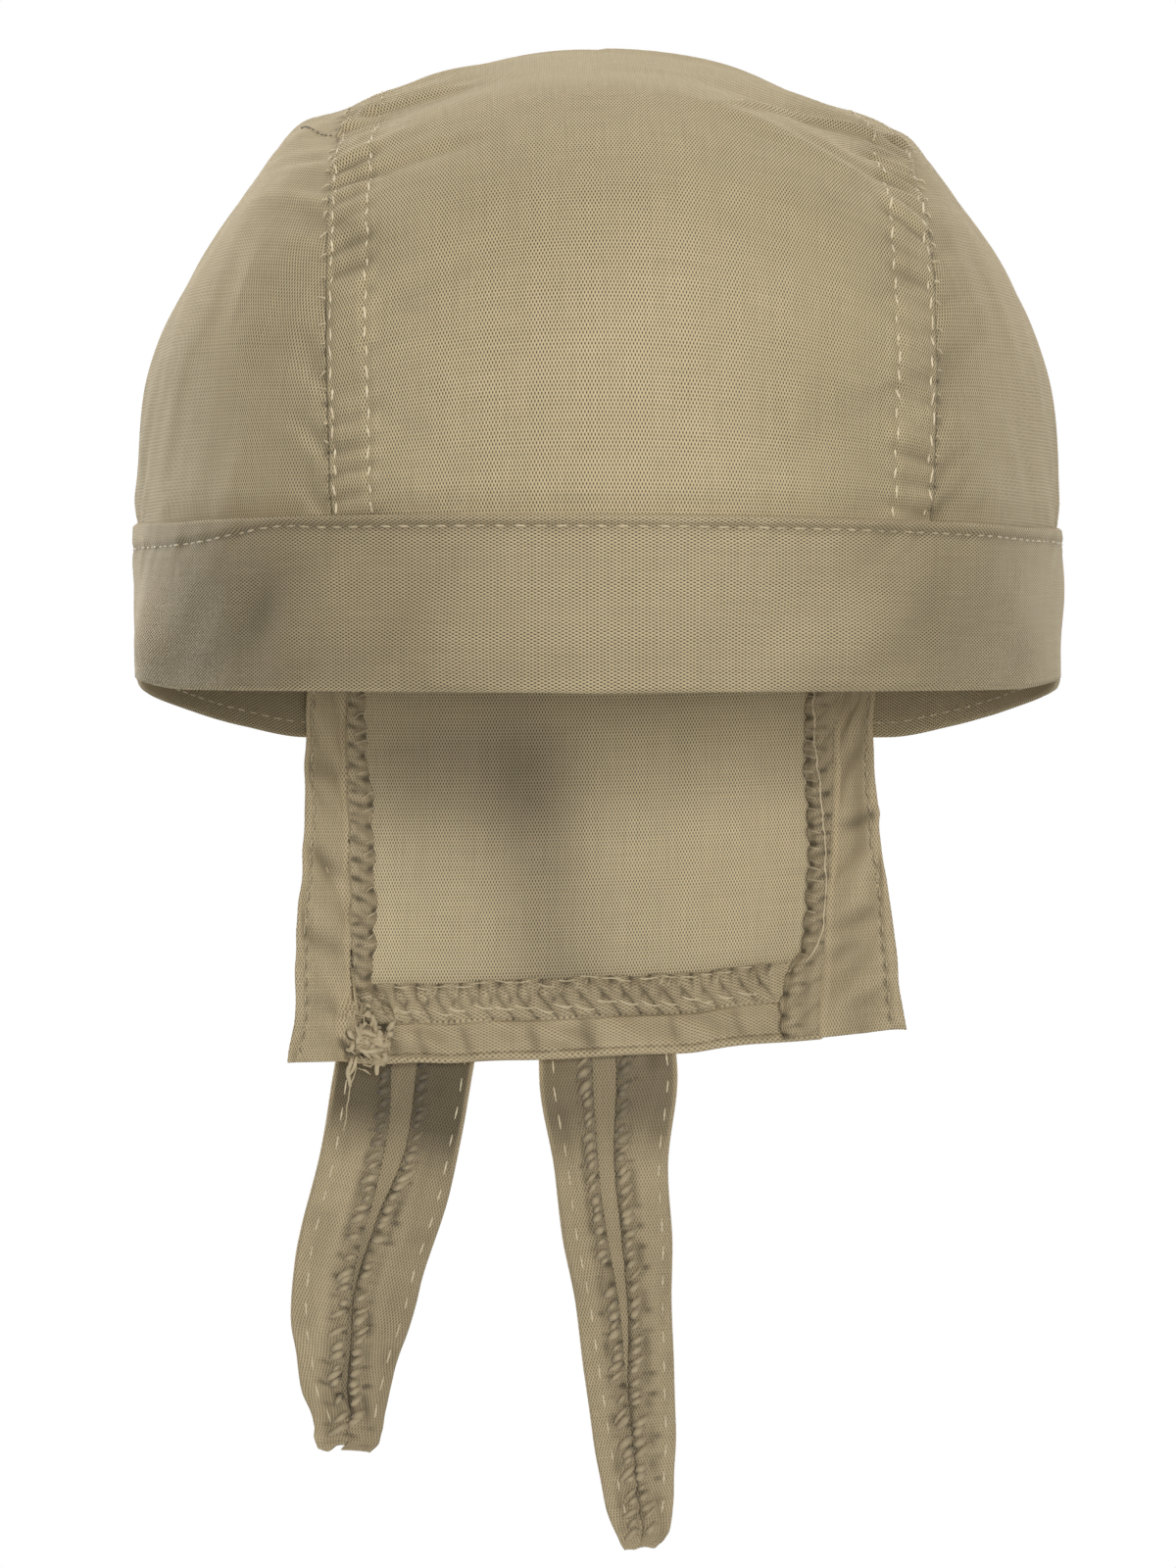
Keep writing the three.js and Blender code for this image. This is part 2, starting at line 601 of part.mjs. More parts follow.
function add(name, geometry, color) {
  const mesh = new THREE.Mesh(geometry, cloth(color));
  mesh.name = name;
  cap.add(mesh);
}

add('centre_panel', centrePanel(), KHAKI);
add('side_panel_left', sidePanel(-1), KHAKI);
add('side_panel_right', sidePanel(1), KHAKI);
add('headband', headband(), KHAKI);
add('flap_edge_left', flapEdge(-1), SHADED_KHAKI);
add('flap_edge_right', flapEdge(1), SHADED_KHAKI);
add('flap_hem', flapHem(), SHADED_KHAKI);
add('tie_left', tie(TIE_LEFT), SHADED_KHAKI);
add('tie_right', tie(TIE_RIGHT), SHADED_KHAKI);
add('knot', knot(), SHADED_KHAKI);

export default cap;
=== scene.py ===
"""A bandana cap of khaki cotton: a wide centre panel that runs on down into a neck flap, two domed
side panels, a doubled headband, and two folded ties that are knotted outside the flap.
Metres, +Z up. The wearer looks along -Y, and left and right are as seen from the front."""

import math

import bmesh
import bpy
import numpy as np
from mathutils import Matrix, Vector


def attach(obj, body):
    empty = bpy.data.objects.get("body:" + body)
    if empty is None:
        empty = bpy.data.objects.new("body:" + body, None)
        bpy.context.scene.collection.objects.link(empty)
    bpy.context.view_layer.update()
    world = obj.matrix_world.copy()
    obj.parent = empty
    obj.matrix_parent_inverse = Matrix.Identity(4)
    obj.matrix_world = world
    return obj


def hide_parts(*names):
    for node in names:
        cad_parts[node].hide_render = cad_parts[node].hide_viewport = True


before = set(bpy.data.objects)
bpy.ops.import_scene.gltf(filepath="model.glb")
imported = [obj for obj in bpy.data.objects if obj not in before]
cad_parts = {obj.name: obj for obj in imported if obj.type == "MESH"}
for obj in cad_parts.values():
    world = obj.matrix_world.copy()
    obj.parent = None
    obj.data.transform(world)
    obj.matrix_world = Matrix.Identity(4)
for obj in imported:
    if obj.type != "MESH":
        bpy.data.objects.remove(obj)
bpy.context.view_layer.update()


# Centre panel: one strip of plain-woven cotton from the front of the headband over the top of the
# head and down the back, where it becomes the flap. Its long edges are turned under, laid over the
# side panels and held by two rows of topstitching.
LAYER = 0.0005
EAR_Y = 0.006
EAR_Z = 0.030
HALF_WIDTH = 0.0854
CROWN_LENGTH = 0.315
FRONT_LAP = 0.006
FLAP_LENGTH = 0.092
CROWN_SECTIONS = np.array([
    # turn, reach from the ear line, half the panel's width, its shift to the right
    (0, 0.1070, 0.0533, 0.006),
    (15, 0.1105, 0.0538, 0.006),
    (30, 0.1120, 0.0539, 0.0057),
    (45, 0.1070, 0.0534, 0.0052),
    (60, 0.0974, 0.0521, 0.0047),
    (75, 0.0922, 0.0507, 0.0045),
    (90, 0.0910, 0.05, 0.0044),
    (110, 0.0936, 0.0501, 0.0029),
    (130, 0.0980, 0.04985, 0.00085),
    (150, 0.1010, 0.0494, -0.0008),
    (165, 0.0992, 0.04885, -0.00165),
    (180, 0.0940, 0.0485, -0.0018),
])
REACH, HALF, SHIFT = 1, 2, 3
TOP_SECTION = np.array([
    # lift from an ear, radius
    (0, 0.0854), (8, 0.0854), (18, 0.0867), (28, 0.0887), (38, 0.0910),
    (48, 0.0932), (54, 0.0952), (60, 0.0941), (70, 0.0920), (90, 0.0910),
])
CROWN_FOLDS = [
    # turn, out from the middle, skew, length, width, height
    (68, -0.038, 62, 0.024, 0.008, 0.0008),
    (64, 0.042, -58, 0.024, 0.008, 0.0010),
    (92, 0.038, 0, 0.040, 0.010, -0.0013),
    (52, 0.040, -64, 0.022, 0.007, -0.0012),
    (54, -0.038, 64, 0.020, 0.007, -0.0010),
    (8, 0.0, 90, 0.060, 0.014, -0.0010),
]
CREASES = [
    # the sharper creases at the two soft corners, in the same terms
    (60, -0.0350, 90, 0.010, 0.0015, 0.0012),
    (57.5, -0.0450, 40, 0.007, 0.0016, 0.0011),
    (63.5, -0.0360, 88, 0.014, 0.0026, -0.0008),
    (70, -0.0360, 70, 0.014, 0.0020, 0.0007),
    (40, -0.0330, 88, 0.012, 0.0026, -0.0012),
    (45, -0.0400, 80, 0.010, 0.0026, 0.0006),
    (54, 0.0400, 58, 0.021, 0.0014, 0.0014),
    (57.8, 0.0400, 58, 0.020, 0.0024, -0.0008),
    (49, 0.0500, 60, 0.007, 0.0026, -0.0010),
    (44, 0.0440, -72, 0.010, 0.0018, -0.0008),
    (44, 0.034, -70, 0.016, 0.0026, 0.0009),
    (80, 0.010, -74, 0.030, 0.0030, 0.0008),
    (30, 0.030, -76, 0.014, 0.0036, -0.0006),
    (24, -0.030, 72, 0.012, 0.0036, -0.0006),
]
BAND_EDGES = np.array([
    # angle round the head from the front, rim, top
    (0, 0.0, 0.0312), (60, 0.0014, 0.0312), (84, 0.0034, 0.0322), (96, 0.0015, 0.031),
    (109, -0.0006, 0.029), (126, -0.0043, 0.025), (138, -0.0064, 0.023), (180, -0.0065, 0.023),
])
RIM, TOP = 1, 2
DRAWN_IN = np.array([
    # height, how far the nape and the sides are drawn in there
    (-0.075, 0.0086, 0.0007), (-0.035, 0.0084, 0.0007), (-0.006, 0.0070, 0.0007),
    (0.010, 0.0036, 0.0003), (0.030, 0.0, 0.0),
])
NAPE, SIDE = 1, 2
PRESSED_IN = 0.0009
FLAP_EDGES = np.array([
    # height, free edge and seam on the left, seam and free edge on the right
    (-0.070, -0.0606, -0.0490, 0.0444, 0.0606), (-0.040, -0.0586, -0.0496, 0.0462, 0.0570),
    (-0.022, -0.0574, -0.0499, 0.0473, 0.0550), (0.0, -0.0574, -0.0501, 0.0478, 0.0542),
    (0.030, -0.0570, -0.0503, 0.0474, 0.0536),
])
FREE_LEFT, SEAM_LEFT, SEAM_RIGHT, FREE_RIGHT = 1, 2, 3, 4
FLAP_BOTTOM_LEFT = -0.070
FLAP_BOTTOM_RIGHT = -0.0635
FLAP_HEM = 0.008
FLAP_FLAT_DEPTH = 0.013
FLAP_WAVE = 0.0024
FLAP_WAVE_LENGTH = 0.062
FLAP_WAVE_AT = -0.008
EDGE_SUNK = 0.0006
INNER_ROW = 0.0072
OUTER_ROW = 0.0010
NICK_PITCH = 0.0047
PUCKER_PITCH = 0.0054
# The laps lie flatter over both shoulders, about this far along.
SHOULDER_AT = 0.142


def smoothstep(value, low, high):
    share = np.clip((value - low) / (high - low), 0, 1)
    return share * share * (3 - 2 * share)


def mix(a, b, share):
    return a + (b - a) * share


def bump(distance, width):
    return np.exp(-(distance / width) ** 2)


def read(table, place, column):
    """A column of a table at places between its rows, smoothly and without overshoot."""
    keys, values = table[:, 0], table[:, column]
    span = np.diff(keys)
    slope = np.diff(values) / span
    together = slope[:-1] * slope[1:] > 0
    total = np.where(together, slope[:-1] + slope[1:], 1)
    between = np.where(together, 2 * slope[:-1] * slope[1:] / total, 0)
    tangent = np.concatenate([slope[:1], between, slope[-1:]])
    row = np.clip(np.searchsorted(keys, place, side="right") - 1, 0, len(span) - 1)
    t = np.clip((place - keys[row]) / span[row], 0, 1)
    return (
        (2 * t**3 - 3 * t**2 + 1) * values[row]
        + (t**3 - 2 * t**2 + t) * span[row] * tangent[row]
        + (3 * t**2 - 2 * t**3) * values[row + 1]
        + (t**3 - t**2) * span[row] * tangent[row + 1]
    )


RUMPLE_COLUMNS, RUMPLE_ROWS = 97, 89
RUMPLE_MIDDLE = 40.5


def rumple(across, along, across_size, along_size, seed):
    """Soft random height from -1 to 1, with bumps of about the given sizes."""
    dice = np.random.default_rng(seed).uniform(-1, 1, (RUMPLE_COLUMNS, RUMPLE_ROWS))
    x = across / across_size + RUMPLE_MIDDLE
    y = along / along_size + RUMPLE_MIDDLE
    column, row = np.floor(x).astype(int), np.floor(y).astype(int)
    x_share, y_share = smoothstep(x - column, 0, 1), smoothstep(y - row, 0, 1)

    def corner(right, up):
        return dice[(column + right) % RUMPLE_COLUMNS, (row + up) % RUMPLE_ROWS]

    low = mix(corner(0, 0), corner(1, 0), x_share)
    high = mix(corner(0, 1), corner(1, 1), x_share)
    return mix(low, high, y_share)


def crease_at(along, across, skew, length, width):
    """A crease at a place beside its middle: 1 on its line, and less past its length and width."""
    cosine, sine = math.cos(math.radians(skew)), math.sin(math.radians(skew))
    run = (along * cosine + across * sine) / length
    off = (across * cosine - along * sine) / width
    return np.exp(-(off**2) - run**4)


def fold_height(turn, out, folds=CROWN_FOLDS):
    height = 0 * out
    for at_turn, at_out, skew, length, width, high in folds:
        along = np.radians(turn - at_turn) * read(CROWN_SECTIONS, at_turn, REACH)
        height = height + high * crease_at(along, out - at_out, skew, length, width)
    return height


def pressed_in(around, z):
    """How far the crown is pressed in under the headband."""
    above = z - read(BAND_EDGES, around, TOP)
    sides = smoothstep(around, 45, 75) * (1 - smoothstep(around, 110, 140))
    held = PRESSED_IN * (1 - 0.62 * sides) * (1 - smoothstep(around, 146, 156))
    return held * (1 - smoothstep(above, 0.0005, 0.005))


def crown_radius(turn, lift):
    reach = read(CROWN_SECTIONS, turn, REACH)
    rise, outward = np.sin(np.radians(lift)), np.cos(np.radians(lift))
    oval = 1 / np.hypot(outward / HALF_WIDTH, rise / reach)
    square = read(TOP_SECTION, lift, 1) * mix(1, reach / read(CROWN_SECTIONS, 90.0, REACH), rise)
    return mix(oval, square, np.sin(np.radians(turn)) ** 2)


def crown_point(turn, lift, side, depth):
    """The crown's outer face, or a depth into it. Turn goes from the front (0) over the top (90) to
    the back (180), lift from an ear (0) to the middle (90), and side is -1 left and 1 right."""
    rise, outward = np.sin(np.radians(lift)), np.cos(np.radians(lift))
    turned = np.radians(turn)
    way = np.stack([side * outward, -rise * np.cos(turned), rise * np.sin(turned)], axis=-1)
    face = way * crown_radius(turn, lift)[..., None]
    reach = np.where(face[..., 1] < 0, CROWN_SECTIONS[0, REACH], CROWN_SECTIONS[-1, REACH])
    around = np.degrees(np.arctan2(np.abs(face[..., 0]) / HALF_WIDTH, -face[..., 1] / reach))
    shoulder = 0.0009 * smoothstep(face[..., 2], 0.030, 0.070) * np.where(side < 0, 1.25, 1)
    low_side = 0.0007 * bump(lift - 6, 22) * np.where(side < 0, 1, 0.3)
    inward = depth + pressed_in(around, EAR_Z + face[..., 2]) - fold_height(turn, face[..., 0])
    inward = inward + shoulder + low_side * smoothstep(face[..., 2], 0.002, 0.012)
    return face - way * inward[..., None] + np.array([0, EAR_Y, EAR_Z])


def lift_at(turn, out):
    """The lift at which a section of the crown is a given way out from the middle."""
    lift = 60 + 0 * out
    for _ in range(12):
        lift = np.degrees(np.arccos(np.minimum(out / crown_radius(turn, lift), 1)))
    return lift


def seam_out(turn, side):
    return read(CROWN_SECTIONS, turn, HALF) + side * read(CROWN_SECTIONS, turn, SHIFT)


def wall_point(around, z, depth):
    """The cap's wall below the ear line, at an angle round the head. Left is a negative angle."""
    angle = np.radians(around)
    low = np.minimum(z, EAR_Z)
    front = CROWN_SECTIONS[0, REACH] - read(DRAWN_IN, low, SIDE)
    back = CROWN_SECTIONS[-1, REACH] - read(DRAWN_IN, low, NAPE)
    reach = np.where(np.abs(around) < 90, front, back)
    half = HALF_WIDTH - read(DRAWN_IN, low, SIDE)
    normal_x, normal_y = np.sin(angle) / half, -np.cos(angle) / reach
    length = np.hypot(normal_x, normal_y)
    x = half * np.sin(angle) - depth * normal_x / length
    y = EAR_Y - reach * np.cos(angle) - depth * normal_y / length
    return np.stack([x, y, z + 0 * x], axis=-1)


def around_at(out, is_front, z=EAR_Z):
    half = HALF_WIDTH - read(DRAWN_IN, np.minimum(z, EAR_Z), SIDE)
    angle = np.degrees(np.arcsin(np.minimum(out / half, 1)))
    return np.where(is_front, angle, 180 - angle)


def flap_face(x, z):
    """The outer face of the nape and of the flap below it."""
    around = around_at(np.abs(x), False, z)
    wall = wall_point(around, z, 0)[..., 1]
    square = wall - wall_point(around, z, 0.001)[..., 1]
    wall = wall - pressed_in(around, z) / (square / 0.001)
    flat = wall_point(180 + 0 * x, z, 0)[..., 1] - FLAP_FLAT_DEPTH * (x / FLAP_EDGES[-1, FREE_RIGHT]) ** 2
    wave = FLAP_WAVE * np.cos(2 * np.pi * (x - FLAP_WAVE_AT) / FLAP_WAVE_LENGTH)
    hangs = 1 - smoothstep(z, -0.064, -0.009)
    return np.stack([x, mix(wall, flat - wave, hangs), z + 0 * x], axis=-1)


def flap_point(x, z, depth):
    step = 0.0005
    right = flap_face(x + step, z) - flap_face(x - step, z)
    up = flap_face(x, z + step) - flap_face(x, z - step)
    inward = np.cross(right, up)
    inward /= np.linalg.norm(inward, axis=-1, keepdims=True)
    return flap_face(x, z) + inward * (depth + 0 * x)[..., None]


def flap_bottom(x):
    """The flap's lower edge, which hangs a little lower on the left."""
    share = np.clip((x + 0.030) / 0.088, 0, 1)
    return mix(FLAP_BOTTOM_LEFT, FLAP_BOTTOM_RIGHT, share**2)


def panel_width(station):
    turn = np.clip(station / CROWN_LENGTH, 0, 1) * 180
    return seam_out(turn, -1) + seam_out(turn, 1)


def edge_nicks(along, seed):
    """Where the hidden inner seam pulls small nicks into the turned edge, drawn only as painted shade."""
    uneven = rumple(0 * along, along, 1, 0.0060, seed)
    near = bump(np.sin(np.pi * (along + 0.0012 * uneven) / NICK_PITCH), 0.32)
    return near * smoothstep(uneven, -0.8, 0.2)


def lap_relief(edge, along, seed):
    """The turned edge of the panel: it is thicker, pulled in along both stitch rows, and puckered.
    Returns its height and the shade painted into its hollows and nicks."""
    turned = 0.00028 * (1 - smoothstep(edge, 0.0074, 0.0092)) - 0.0003 * np.exp(-edge / 0.0006)
    tufts = rumple(edge, along, 0.02, 0.0014, seed + 3)
    rows = 0.00024 * bump(edge - OUTER_ROW, 0.0005) + 0.00034 * bump(edge - INNER_ROW, 0.0007)
    within = smoothstep(edge, 0.0, 0.0012) * (1 - smoothstep(edge, 0.0070, 0.0100))
    slanted = along - 0.16 * edge + 0.0018 * rumple(edge, along, 0.012, 0.010, seed)
    uneven = 0.72 + 0.28 * rumple(edge, along, 0.02, 0.011, seed + 4)
    waves = np.sin(2 * np.pi * slanted / PUCKER_PITCH) * uneven
    puckers = within * (0.62 * waves + 0.42 * rumple(edge, slanted, 0.0075, 0.0029, seed + 1))
    fading = np.exp(-np.maximum(edge - 0.006, 0) / 0.009) * smoothstep(edge, 0.0, 0.002)
    pulls = fading * rumple(edge, along + 0.8 * edge, 0.013, 0.0052, seed + 2)
    height = turned + 0.00018 * np.exp(-edge / 0.0012) * tufts - rows
    height = height + 0.00075 * puckers + 0.00045 * pulls
    nicks = bump(edge, 0.0009) * edge_nicks(along, seed)
    dark = 0.46 * np.maximum(-puckers, 0) + 0.24 * np.maximum(-pulls, 0) + 0.75 * nicks
    crown = 1 - smoothstep(along, CROWN_LENGTH - 0.010, CROWN_LENGTH + 0.004)
    crown = crown * (1 - 0.7 * bump(along - SHOULDER_AT, 0.030))
    return height * crown, dark * crown


def panel_edges(across, station):
    """The relief of both turned edges at a place of the centre panel, and their painted shade."""
    width = panel_width(station)
    left = lap_relief(across * width, station, 11)
    right = lap_relief((1 - across) * width, station, 21)
    return left[0] + right[0], left[1] + right[1]


def panel_dark(across, station):
    """Painted shade: in the hollows of the edges, along a soft fold that runs down the flap a little left
    of its middle, over the flap's upper left and left of its middle, and below the front rim."""
    share = np.clip((station - CROWN_LENGTH) / FLAP_LENGTH, 0, 1)
    x = mix(FLAP_EDGES[0, SEAM_LEFT], FLAP_EDGES[0, SEAM_RIGHT], across)
    fold = bump(x - mix(-0.0205, -0.0070, share), 0.0100) * smoothstep(share, 0.25, 0.5)
    high = 0.34 * (1 - smoothstep(x, -0.024, 0.010)) * (1 - smoothstep(share, 0.50, 0.78))
    high = high * mix(0.4, 1, smoothstep(share, 0.33, 0.43))
    left = 0.13 * (1 - smoothstep(x, 0.008, 0.030)) * smoothstep(x, -0.046, -0.032)
    rim_shade = 0.14 * (bump(x + 0.037, 0.009) + bump(x - 0.037, 0.011)) * bump(share - 0.45, 0.10)
    soft = (0.42 * fold + high + left + rim_shade) * smoothstep(share, 0.0, 0.05)
    return np.clip(panel_edges(across, station)[1] + soft, 0, 1)


def panel_point(across, station):
    """The centre panel's outer face, at a share across and a length along from the front."""
    width = panel_width(station)
    near_edge = np.minimum(across, 1 - across) * width
    soft = 0.00035 * rumple(across * width, station, 0.024, 0.030, 31)
    relief = panel_edges(across, station)[0] + soft * smoothstep(near_edge, 0.001, 0.012)
    turn = np.clip(station / CROWN_LENGTH, 0, 1) * 180
    out = mix(-seam_out(turn, -1), seam_out(turn, 1), across)
    relief = relief + fold_height(turn, out, CREASES) * (station > 0)
    relief = relief - EDGE_SUNK * bump(turn - 88, 34) * (1 - smoothstep(near_edge, 0.004, 0.018))
    side = np.where(out < 0, -1, 1)
    crown = crown_point(turn, lift_at(turn, np.abs(out)), side, -relief)

    around = around_at(np.abs(out), True)
    share = np.clip(-station / FRONT_LAP, 0, 1)
    z = mix(EAR_Z, read(BAND_EDGES, around, TOP) - FRONT_LAP, share)
    front = wall_point(around, z, pressed_in(around, z) - fold_height(0, out) - relief)
    front[..., 0] *= side

    share = np.clip((station - CROWN_LENGTH) / FLAP_LENGTH, 0, 1)
    level = mix(EAR_Z, flap_bottom(0) + FLAP_HEM, share)
    x = mix(read(FLAP_EDGES, level, SEAM_LEFT), read(FLAP_EDGES, level, SEAM_RIGHT), across)
    flap = flap_point(x, mix(EAR_Z, flap_bottom(x) + FLAP_HEM, share), -relief)
    below = (station < 0)[..., None]
    behind = (station > CROWN_LENGTH)[..., None]
    return np.where(below, front, np.where(behind, flap, crown))


def cloth_lengths(points):
    """Where each point of a sheet lay on the flat cloth, as lengths across and along it. The threads
    run straight over its small folds, so both lengths are evened out."""
    rows, columns = points.shape[:2]
    across = np.linalg.norm(np.diff(points, axis=1), axis=2).cumsum(axis=1)
    across = np.concatenate([np.zeros((rows, 1)), across], axis=1)
    along = np.linalg.norm(np.diff(points, axis=0), axis=2).cumsum(axis=0)
    along = np.concatenate([np.zeros((1, columns)), along], axis=0)
    across -= across[:, columns // 2][:, None]
    along = along.mean(axis=1, keepdims=True) + 0 * along
    reach = min(16, rows // 5)
    wide = np.pad(across, ((reach, reach), (0, 0)), mode="edge")
    across = np.mean([wide[start:start + rows] for start in range(2 * reach + 1)], axis=0)
    return np.stack([across, along], axis=-1)


def piece_of(name, bm, material):
    """An object at the origin from a bmesh, which it uses up."""
    mesh = bpy.data.meshes.new(name)
    bm.to_mesh(mesh)
    bm.free()
    mesh.materials.append(material)
    piece = bpy.data.objects.new(name, mesh)
    bpy.context.scene.collection.objects.link(piece)
    return piece


def cut_cloth(name, across, along, point_at, material, flat=None, thick=LAYER, dark_at=None,
              turned=False, inside=None):
    """A sheet of cloth: a flat grid with a column for each value of across and a row for each of
    along, laid where point_at says. flat gives its places on the flat cloth, and dark_at how much
    shade is painted on it. A turned sheet has its right side on the other face. inside is the
    material of its wrong side, where that shows in another shade."""
    bm = bmesh.new()
    bmesh.ops.create_grid(bm, x_segments=len(across) - 1, y_segments=len(along) - 1, size=0.5)
    bm.verts.ensure_lookup_table()
    grid_across, grid_along = np.meshgrid(across, along)
    points = point_at(grid_across, grid_along)
    flat_places = cloth_lengths(points) if flat is None else flat(grid_across, grid_along)
    dark = np.zeros(grid_across.shape) if dark_at is None else dark_at(grid_across, grid_along)
    # Each point keeps the shade painted on it.
    painted_shade = bm.verts.layers.float.new("painted_shade")
    for vert, point, shade in zip(bm.verts, points.reshape(-1, 3), dark.ravel()):
        vert.co = point
        vert[painted_shade] = shade
    layer = bm.loops.layers.uv.new("cloth")
    flat_places = flat_places.reshape(-1, 2)
    for face in bm.faces:
        face.smooth = True
        for loop in face.loops:
            loop[layer].uv = flat_places[loop.vert.index]
    if turned:
        bmesh.ops.reverse_faces(bm, faces=bm.faces)
    piece = piece_of(name, bm, material)
    if inside:
        piece.data.materials.append(inside)
    layers = piece.modifiers.new("layer", "SOLIDIFY")
    layers.thickness = thick
    layers.offset = -1
    layers.material_offset = 1 if inside else 0
    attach(piece, "root")
    return piece


def add_node(tree, kind, inputs=(), **settings):
    """A shader node with its settings, and its inputs linked or set, in order or by name."""
    node = tree.nodes.new(kind)
    for key, value in settings.items():
        setattr(node, key, value)
    for key, value in dict(inputs).items():
        if isinstance(value, bpy.types.NodeSocket):
            tree.links.new(value, node.inputs[key])
        else:
            node.inputs[key].default_value = value
    return node


def sum_up(tree, operation, a, b=0.0, c=0.0):
    return add_node(tree, "ShaderNodeMath", {0: a, 1: b, 2: c}, operation=operation).outputs[0]


def ranged(tree, value, start, end, low, high):
    """A value from start to end, spread or pressed together to go from low to high."""
    node = add_node(tree, "ShaderNodeMapRange", {
        "Value": value, "From Min": start, "From Max": end, "To Min": low, "To Max": high})
    return node.outputs["Result"]


def new_group(name, ins, outs):
    """A shader node group with named inputs (with their values) and outputs."""
    group = bpy.data.node_groups.new(name, "ShaderNodeTree")
    for socket, kind, value in ins:
        made = group.interface.new_socket(socket, in_out="INPUT", socket_type=kind)
        if value is not None:
            made.default_value = value
    for socket, kind in outs:
        group.interface.new_socket(socket, in_out="OUTPUT", socket_type=kind)
    return group, group.nodes.new("NodeGroupInput"), group.nodes.new("NodeGroupOutput")


THREAD_PITCH = 0.0006


def plain_weave():
    """Threads that pass over and under each other, with a pinhole between each four crossings."""
    group, given, made = new_group(
        "plain weave",
        [("Cloth", "NodeSocketVector", None), ("Pitch", "NodeSocketFloat", THREAD_PITCH),
         ("Wander", "NodeSocketFloat", 0.00012)],
        [("Height", "NodeSocketFloat"), ("Pinhole", "NodeSocketFloat"), ("Slub", "NodeSocketFloat")],
    )
    cloth = given.outputs["Cloth"]
    drift = add_node(group, "ShaderNodeTexNoise", {"Vector": cloth, "Scale": 150.0, "Detail": 3.0})
    centred = add_node(group, "ShaderNodeVectorMath", {0: drift.outputs["Color"], 1: (0.5, 0.5, 0.5)},
                       operation="SUBTRACT").outputs[0]
    shift = add_node(group, "ShaderNodeVectorMath", {0: centred}, operation="SCALE")
    group.links.new(given.outputs["Wander"], shift.inputs["Scale"])
    moved = add_node(group, "ShaderNodeVectorMath", {0: cloth, 1: shift.outputs[0]}, operation="ADD")
    parts = add_node(group, "ShaderNodeSeparateXYZ", {0: moved.outputs[0]})
    turns = sum_up(group, "DIVIDE", 2 * math.pi, given.outputs["Pitch"])
    weft = sum_up(group, "COSINE", sum_up(group, "MULTIPLY", parts.outputs["X"], turns))
    half_turns = sum_up(group, "MULTIPLY", turns, 0.5)
    warp = sum_up(group, "COSINE", sum_up(group, "MULTIPLY", parts.outputs["Y"], half_turns))
    crossing = sum_up(group, "MULTIPLY", weft, warp)
    height = sum_up(group, "MULTIPLY_ADD", crossing, 0.5, 0.5)
    group.links.new(height, made.inputs["Height"])
    hole = add_node(group, "ShaderNodeMapRange", {"Value": height, "From Min": 0.54, "From Max": 0.0},
                    interpolation_type="SMOOTHSTEP")
    group.links.new(hole.outputs["Result"], made.inputs["Pinhole"])
    slubs = []
    for stretch in ((2200.0, 60.0, 1.0), (60.0, 2200.0, 1.0)):
        drawn = add_node(group, "ShaderNodeVectorMath", {0: cloth, 1: stretch}, operation="MULTIPLY")
        noise = {"Vector": drawn.outputs[0], "Scale": 1.0, "Detail": 2.0}
        slubs.append(add_node(group, "ShaderNodeTexNoise", noise))
    both = sum_up(group, "ADD", slubs[0].outputs["Fac"], slubs[1].outputs["Fac"])
    group.links.new(sum_up(group, "MULTIPLY", both, 0.5), made.inputs["Slub"])
    return group


def faded_dye():
    """Soft patches where handling and washing have left the dye lighter or darker."""
    group, given, made = new_group(
        "faded dye",
        [("Place", "NodeSocketVector", None), ("Patch", "NodeSocketFloat", 26.0)],
        [("Shade", "NodeSocketFloat")],
    )
    place = given.outputs["Place"]
    large = add_node(group, "ShaderNodeTexNoise", {"Vector": place, "Detail": 2.0})
    group.links.new(given.outputs["Patch"], large.inputs["Scale"])
    small = add_node(group, "ShaderNodeTexNoise", {"Vector": place, "Scale": 260.0, "Detail": 3.0})
    both = sum_up(group, "MULTIPLY_ADD", small.outputs["Fac"], 0.35, large.outputs["Fac"])
    group.links.new(ranged(group, both, 0.4, 0.95, 0.0, 1.0), made.inputs["Shade"])
    return group


WEAVE = plain_weave()
FADE = faded_dye()


MIX_A = 6
MIX_B = 7
MIX_RESULT = 2
# How far the painted shade can darken a colour.
PIT_SHADE = 0.68


def multiply(tree, colour, shade):
    """A colour darkened by a shade from 0 to 1 over the surface."""
    node = add_node(tree, "ShaderNodeMix", data_type="RGBA", blend_type="MULTIPLY")
    node.inputs["Factor"].default_value = 1
    tree.links.new(colour, node.inputs[MIX_A])
    tree.links.new(shade, node.inputs[MIX_B])
    return node.outputs[MIX_RESULT]


def new_material(name):
    """A material with its node tree and its Principled shader."""
    material = bpy.data.materials.new(name)
    material.use_nodes = True
    return material, material.node_tree, material.node_tree.nodes["Principled BSDF"]


def dyed_colour(tree, light, shaded, patch=None):
    """A colour that fades between its two ends over the surface."""
    place = add_node(tree, "ShaderNodeTexCoord")
    fade = add_node(tree, "ShaderNodeGroup", node_tree=FADE)
    if patch:
        fade.inputs["Patch"].default_value = patch
    tree.links.new(place.outputs["Object"], fade.inputs["Place"])
    dyed = add_node(tree, "ShaderNodeMix", data_type="RGBA")
    dyed.inputs[MIX_A].default_value = (*shaded, 1)
    dyed.inputs[MIX_B].default_value = (*light, 1)
    tree.links.new(fade.outputs["Shade"], dyed.inputs["Factor"])
    return dyed.outputs[MIX_RESULT], place


def darkened_by_painted_shade(tree, colour):
    """The colour darkened by the shade painted on the mesh: in hollows, creases, folds and needle holes,
    under the rim and the flap, and over regions that lie in shade.
    """
    painted_shade = add_node(tree, "ShaderNodeAttribute", attribute_name="painted_shade")
    return multiply(tree, colour, sum_up(tree, "MULTIPLY_ADD", painted_shade.outputs["Fac"], -PIT_SHADE, 1.0))


